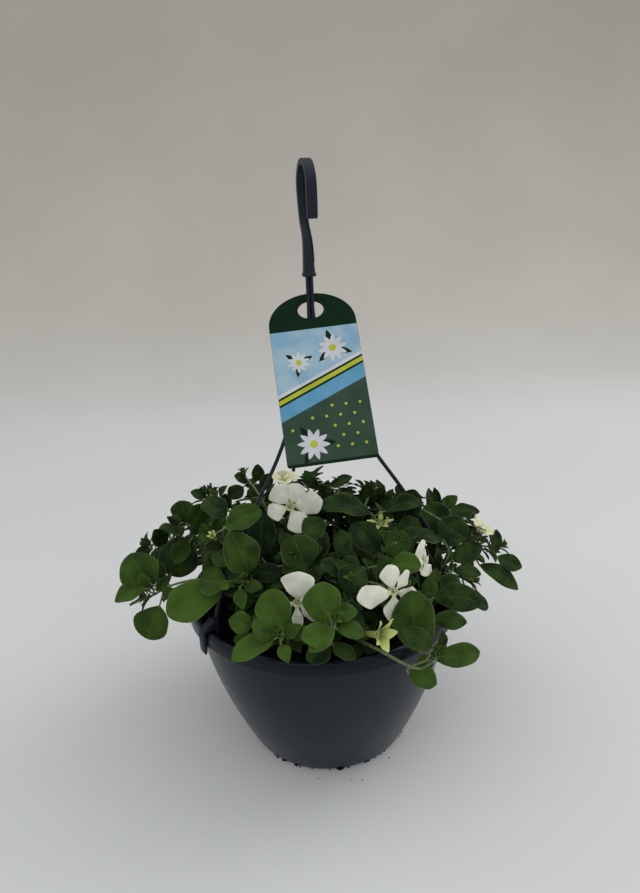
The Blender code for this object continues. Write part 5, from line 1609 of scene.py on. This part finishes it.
def make_plant(room, leaf, stem, young, white, backlit_cream, lime):
    """Blooms first, then what is listed, and then what grows where room is left."""
    for bloom in FLOWERS:
        petal = backlit_cream if bloom.name in BACKLIT_CREAM_FLOWERS else white
        make_bloom(bloom, room, [petal, leaf, lime], False)
    for bloom in BUDS:
        make_bloom(bloom, room, [young if bloom.name in GREEN_BUDS else lime, leaf, lime], True)

    rng = random.Random(20)
    paths = [shoot_path(shoot) for shoot in SHOOTS]
    sheaves = [start_shoot(shoot, path, room, rng) for shoot, path in zip(SHOOTS, paths)]
    for shoot, path, sheaf in zip(SHOOTS, paths, sheaves):
        grow_shoot(shoot, path, sheaf, room, rng)
    for k in range(FILL_TRIES):
        size = rng.uniform(1.2, 3.2) * (1 - 0.35 * k / FILL_TRIES)
        share = rng.uniform(0.12, 0.99)
        around = rng.uniform(0, 6.3)
        which = k % len(SHOOTS)
        add_ruled_leaf(sheaves[which], room, paths[which], share, around, size, rng)
    for shoot, sheaf in zip(SHOOTS, sheaves):
        piece = sheaf.piece(shoot.name + "_grown", [leaf, stem, young], sharp=70)
        stands_for(piece, "leaf", shoot.name)


# ---------------------------------------------------------------- stage, lights and camera


def make_stage(finish):
    """A floor that sweeps up into a backdrop."""
    columns = (-3.0, 0.0, 3.0)
    front = -2.6
    floor_end = 1.5
    bend = 1.2
    top = 4.0
    rows = [(front, 0.0)]
    for degrees in range(0, 91, 6):
        angle = math.radians(degrees)
        rows.append((floor_end + bend * math.sin(angle), bend - bend * math.cos(angle)))
    rows.append((floor_end + bend, top))
    wide = len(columns)
    faces = [
        (i * wide + j, i * wide + j + 1, (i + 1) * wide + j + 1, (i + 1) * wide + j)
        for i in range(len(rows) - 1)
        for j in range(wide - 1)
    ]
    mesh = bpy.data.meshes.new("studio_sweep")
    mesh.from_pydata([(x, y, z) for y, z in rows for x in columns], [], faces)
    mesh.shade_smooth()
    mesh.materials.append(finish)
    sweep = bpy.data.objects.new("studio_sweep", mesh)
    bpy.context.collection.objects.link(sweep)


def make_fallen_crumbs(finish):
    """Peat crumbs along the foot of the pot and a few specks on the floor."""
    rng = random.Random(11)
    # azimuth, distance from the foot's edge in mm, size in mm
    crumbs = [(276, 0.3, 2.4), (278, 0.5, 1.8), (262, 11, 0.6), (281, 16, 0.7), (287, 19, 0.7)]
    crumbs += [(215, 14, 0.5), (310, 9, 0.6)]
    for _ in range(26):
        crumbs.append((rng.uniform(225, 335), rng.uniform(-0.2, 0.8), rng.uniform(0.6, 1.5)))
    sheaf = Sheaf()
    for azimuth, out, size in crumbs:
        place = polar(azimuth, BASE_RADIUS + out * MM, 0.45 * size * MM)
        crumb(sheaf, place, size * MM, rng, rng.random())
    sheaf.piece("fallen_crumbs", [finish])


def add_light(name, place, target, size, power, colour):
    lamp = bpy.data.lights.new(name, "AREA")
    lamp.shape = "DISK"
    lamp.size = size
    lamp.energy = power
    lamp.color = colour
    holder = bpy.data.objects.new(name, lamp)
    holder.location = place
    holder.rotation_euler = (Vector(target) - Vector(place)).to_track_quat("-Z", "Y").to_euler()
    bpy.context.collection.objects.link(holder)


def make_lights():
    """A studio that is brighter overhead, a large key light and a weaker fill."""
    world = bpy.data.worlds.new("studio")
    world.use_nodes = True
    nodes = world.node_tree.nodes
    links = world.node_tree.links
    nodes["Background"].inputs["Strength"].default_value = 0.99
    way = nodes.new("ShaderNodeTexCoord")
    overhead = nodes.new("ShaderNodeVectorMath")
    overhead.operation = "DOT_PRODUCT"
    overhead.inputs[1].default_value = (0.1, 0.45, 0.89)
    rise = nodes.new("ShaderNodeMapRange")
    rise.inputs["From Min"].default_value = -0.5
    rise.inputs["From Max"].default_value = 0.6
    sky = nodes.new("ShaderNodeMix")
    sky.data_type = "RGBA"
    sky.inputs[6].default_value = (0.26, 0.27, 0.29, 1.0)
    sky.inputs[7].default_value = (0.95, 0.97, 1.0, 1.0)
    links.new(way.outputs["Generated"], overhead.inputs[0])
    links.new(overhead.outputs["Value"], rise.inputs["Value"])
    links.new(rise.outputs["Result"], sky.inputs[0])
    links.new(sky.outputs[2], nodes["Background"].inputs["Color"])
    bpy.context.scene.world = world
    add_light("key", (1.5, 0.5, 1.9), (0, 0, 0.1), 1.6, 11, (1.0, 0.985, 0.95))
    add_light("fill", (-0.9, -1.9, 1.6), (0, 0, 0.2), 1.6, 3, (0.95, 0.97, 1.0))


def make_camera():
    """Stands in front, looks down at the basket, and is turned a little about its own view."""
    lens = bpy.data.cameras.new("view")
    lens.sensor_width = 36
    lens.lens = 27.41
    lens.clip_start = 0.01
    eye = bpy.data.objects.new("view", lens)
    pitch = math.radians(-18.74)
    roll = -0.0439
    forward = Vector((0, math.cos(pitch), math.sin(pitch)))
    right = Vector((1, 0, 0))
    up = right.cross(forward)
    rolled_right = math.cos(roll) * right + math.sin(roll) * up
    rolled_up = math.cos(roll) * up - math.sin(roll) * right
    turn = Matrix((rolled_right, rolled_up, -forward)).transposed()
    eye.matrix_world = Matrix.Translation(EYE) @ turn.to_4x4()
    bpy.context.collection.objects.link(eye)
    bpy.context.scene.camera = eye


# ---------------------------------------------------------------- everything

# The pot's plastic carries the painted shade on its rim.
pot_plastic = moulded_plastic("pot_grey", (0.005, 0.0095, 0.016), 0.8, 0.28, painted_rim_shade=1.0)
insert_plastic = moulded_plastic("insert_dark", (0.012, 0.013, 0.014), 0.5, 0.55)
hanger_plastic = moulded_plastic("hanger_dark", (0.012, 0.015, 0.023), 0.1, 0.45)
peat = soil_finish()
make_pot(pot_plastic)
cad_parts["reservoir_insert"].data.materials[0] = insert_plastic
make_soil(peat)
make_hook(hanger_plastic)
make_rods(hanger_plastic)
card_back = printed_finish("card_back", (0.10, 0.13, 0.11), (0.13, 0.16, 0.14), 0.6)
make_tag(card_back, [printed_finish(*ink) for ink in INKS])
room = Room()
for name in ("hanger_hook", "rod_left", "rod_right", "rod_back", "hang_tag", "pot", "soil"):
    room.add_piece(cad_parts[name])
make_plant(
    room,
    leaf_finish("leaf_blade", (0.005, 0.017, 0.003), (0.056, 0.112, 0.013), (0.10, 0.155, 0.05)),
    stem_finish(),
    leaf_finish("leaf_young", (0.020, 0.048, 0.006), (0.10, 0.16, 0.018), (0.14, 0.19, 0.06)),
    petal_finish("petal_white", (0.70, 0.70, 0.57), (0.80, 0.80, 0.68)),
    # A cream copy of the petals, painted light for the blooms lit from behind.
    petal_finish("petal_backlit_cream", (0.64, 0.64, 0.36), (0.76, 0.74, 0.48)),
    lime_finish(),
)
make_stage(stage_finish())
make_fallen_crumbs(peat)
make_lights()
make_camera()
bpy.context.scene.view_settings.view_transform = "Standard"
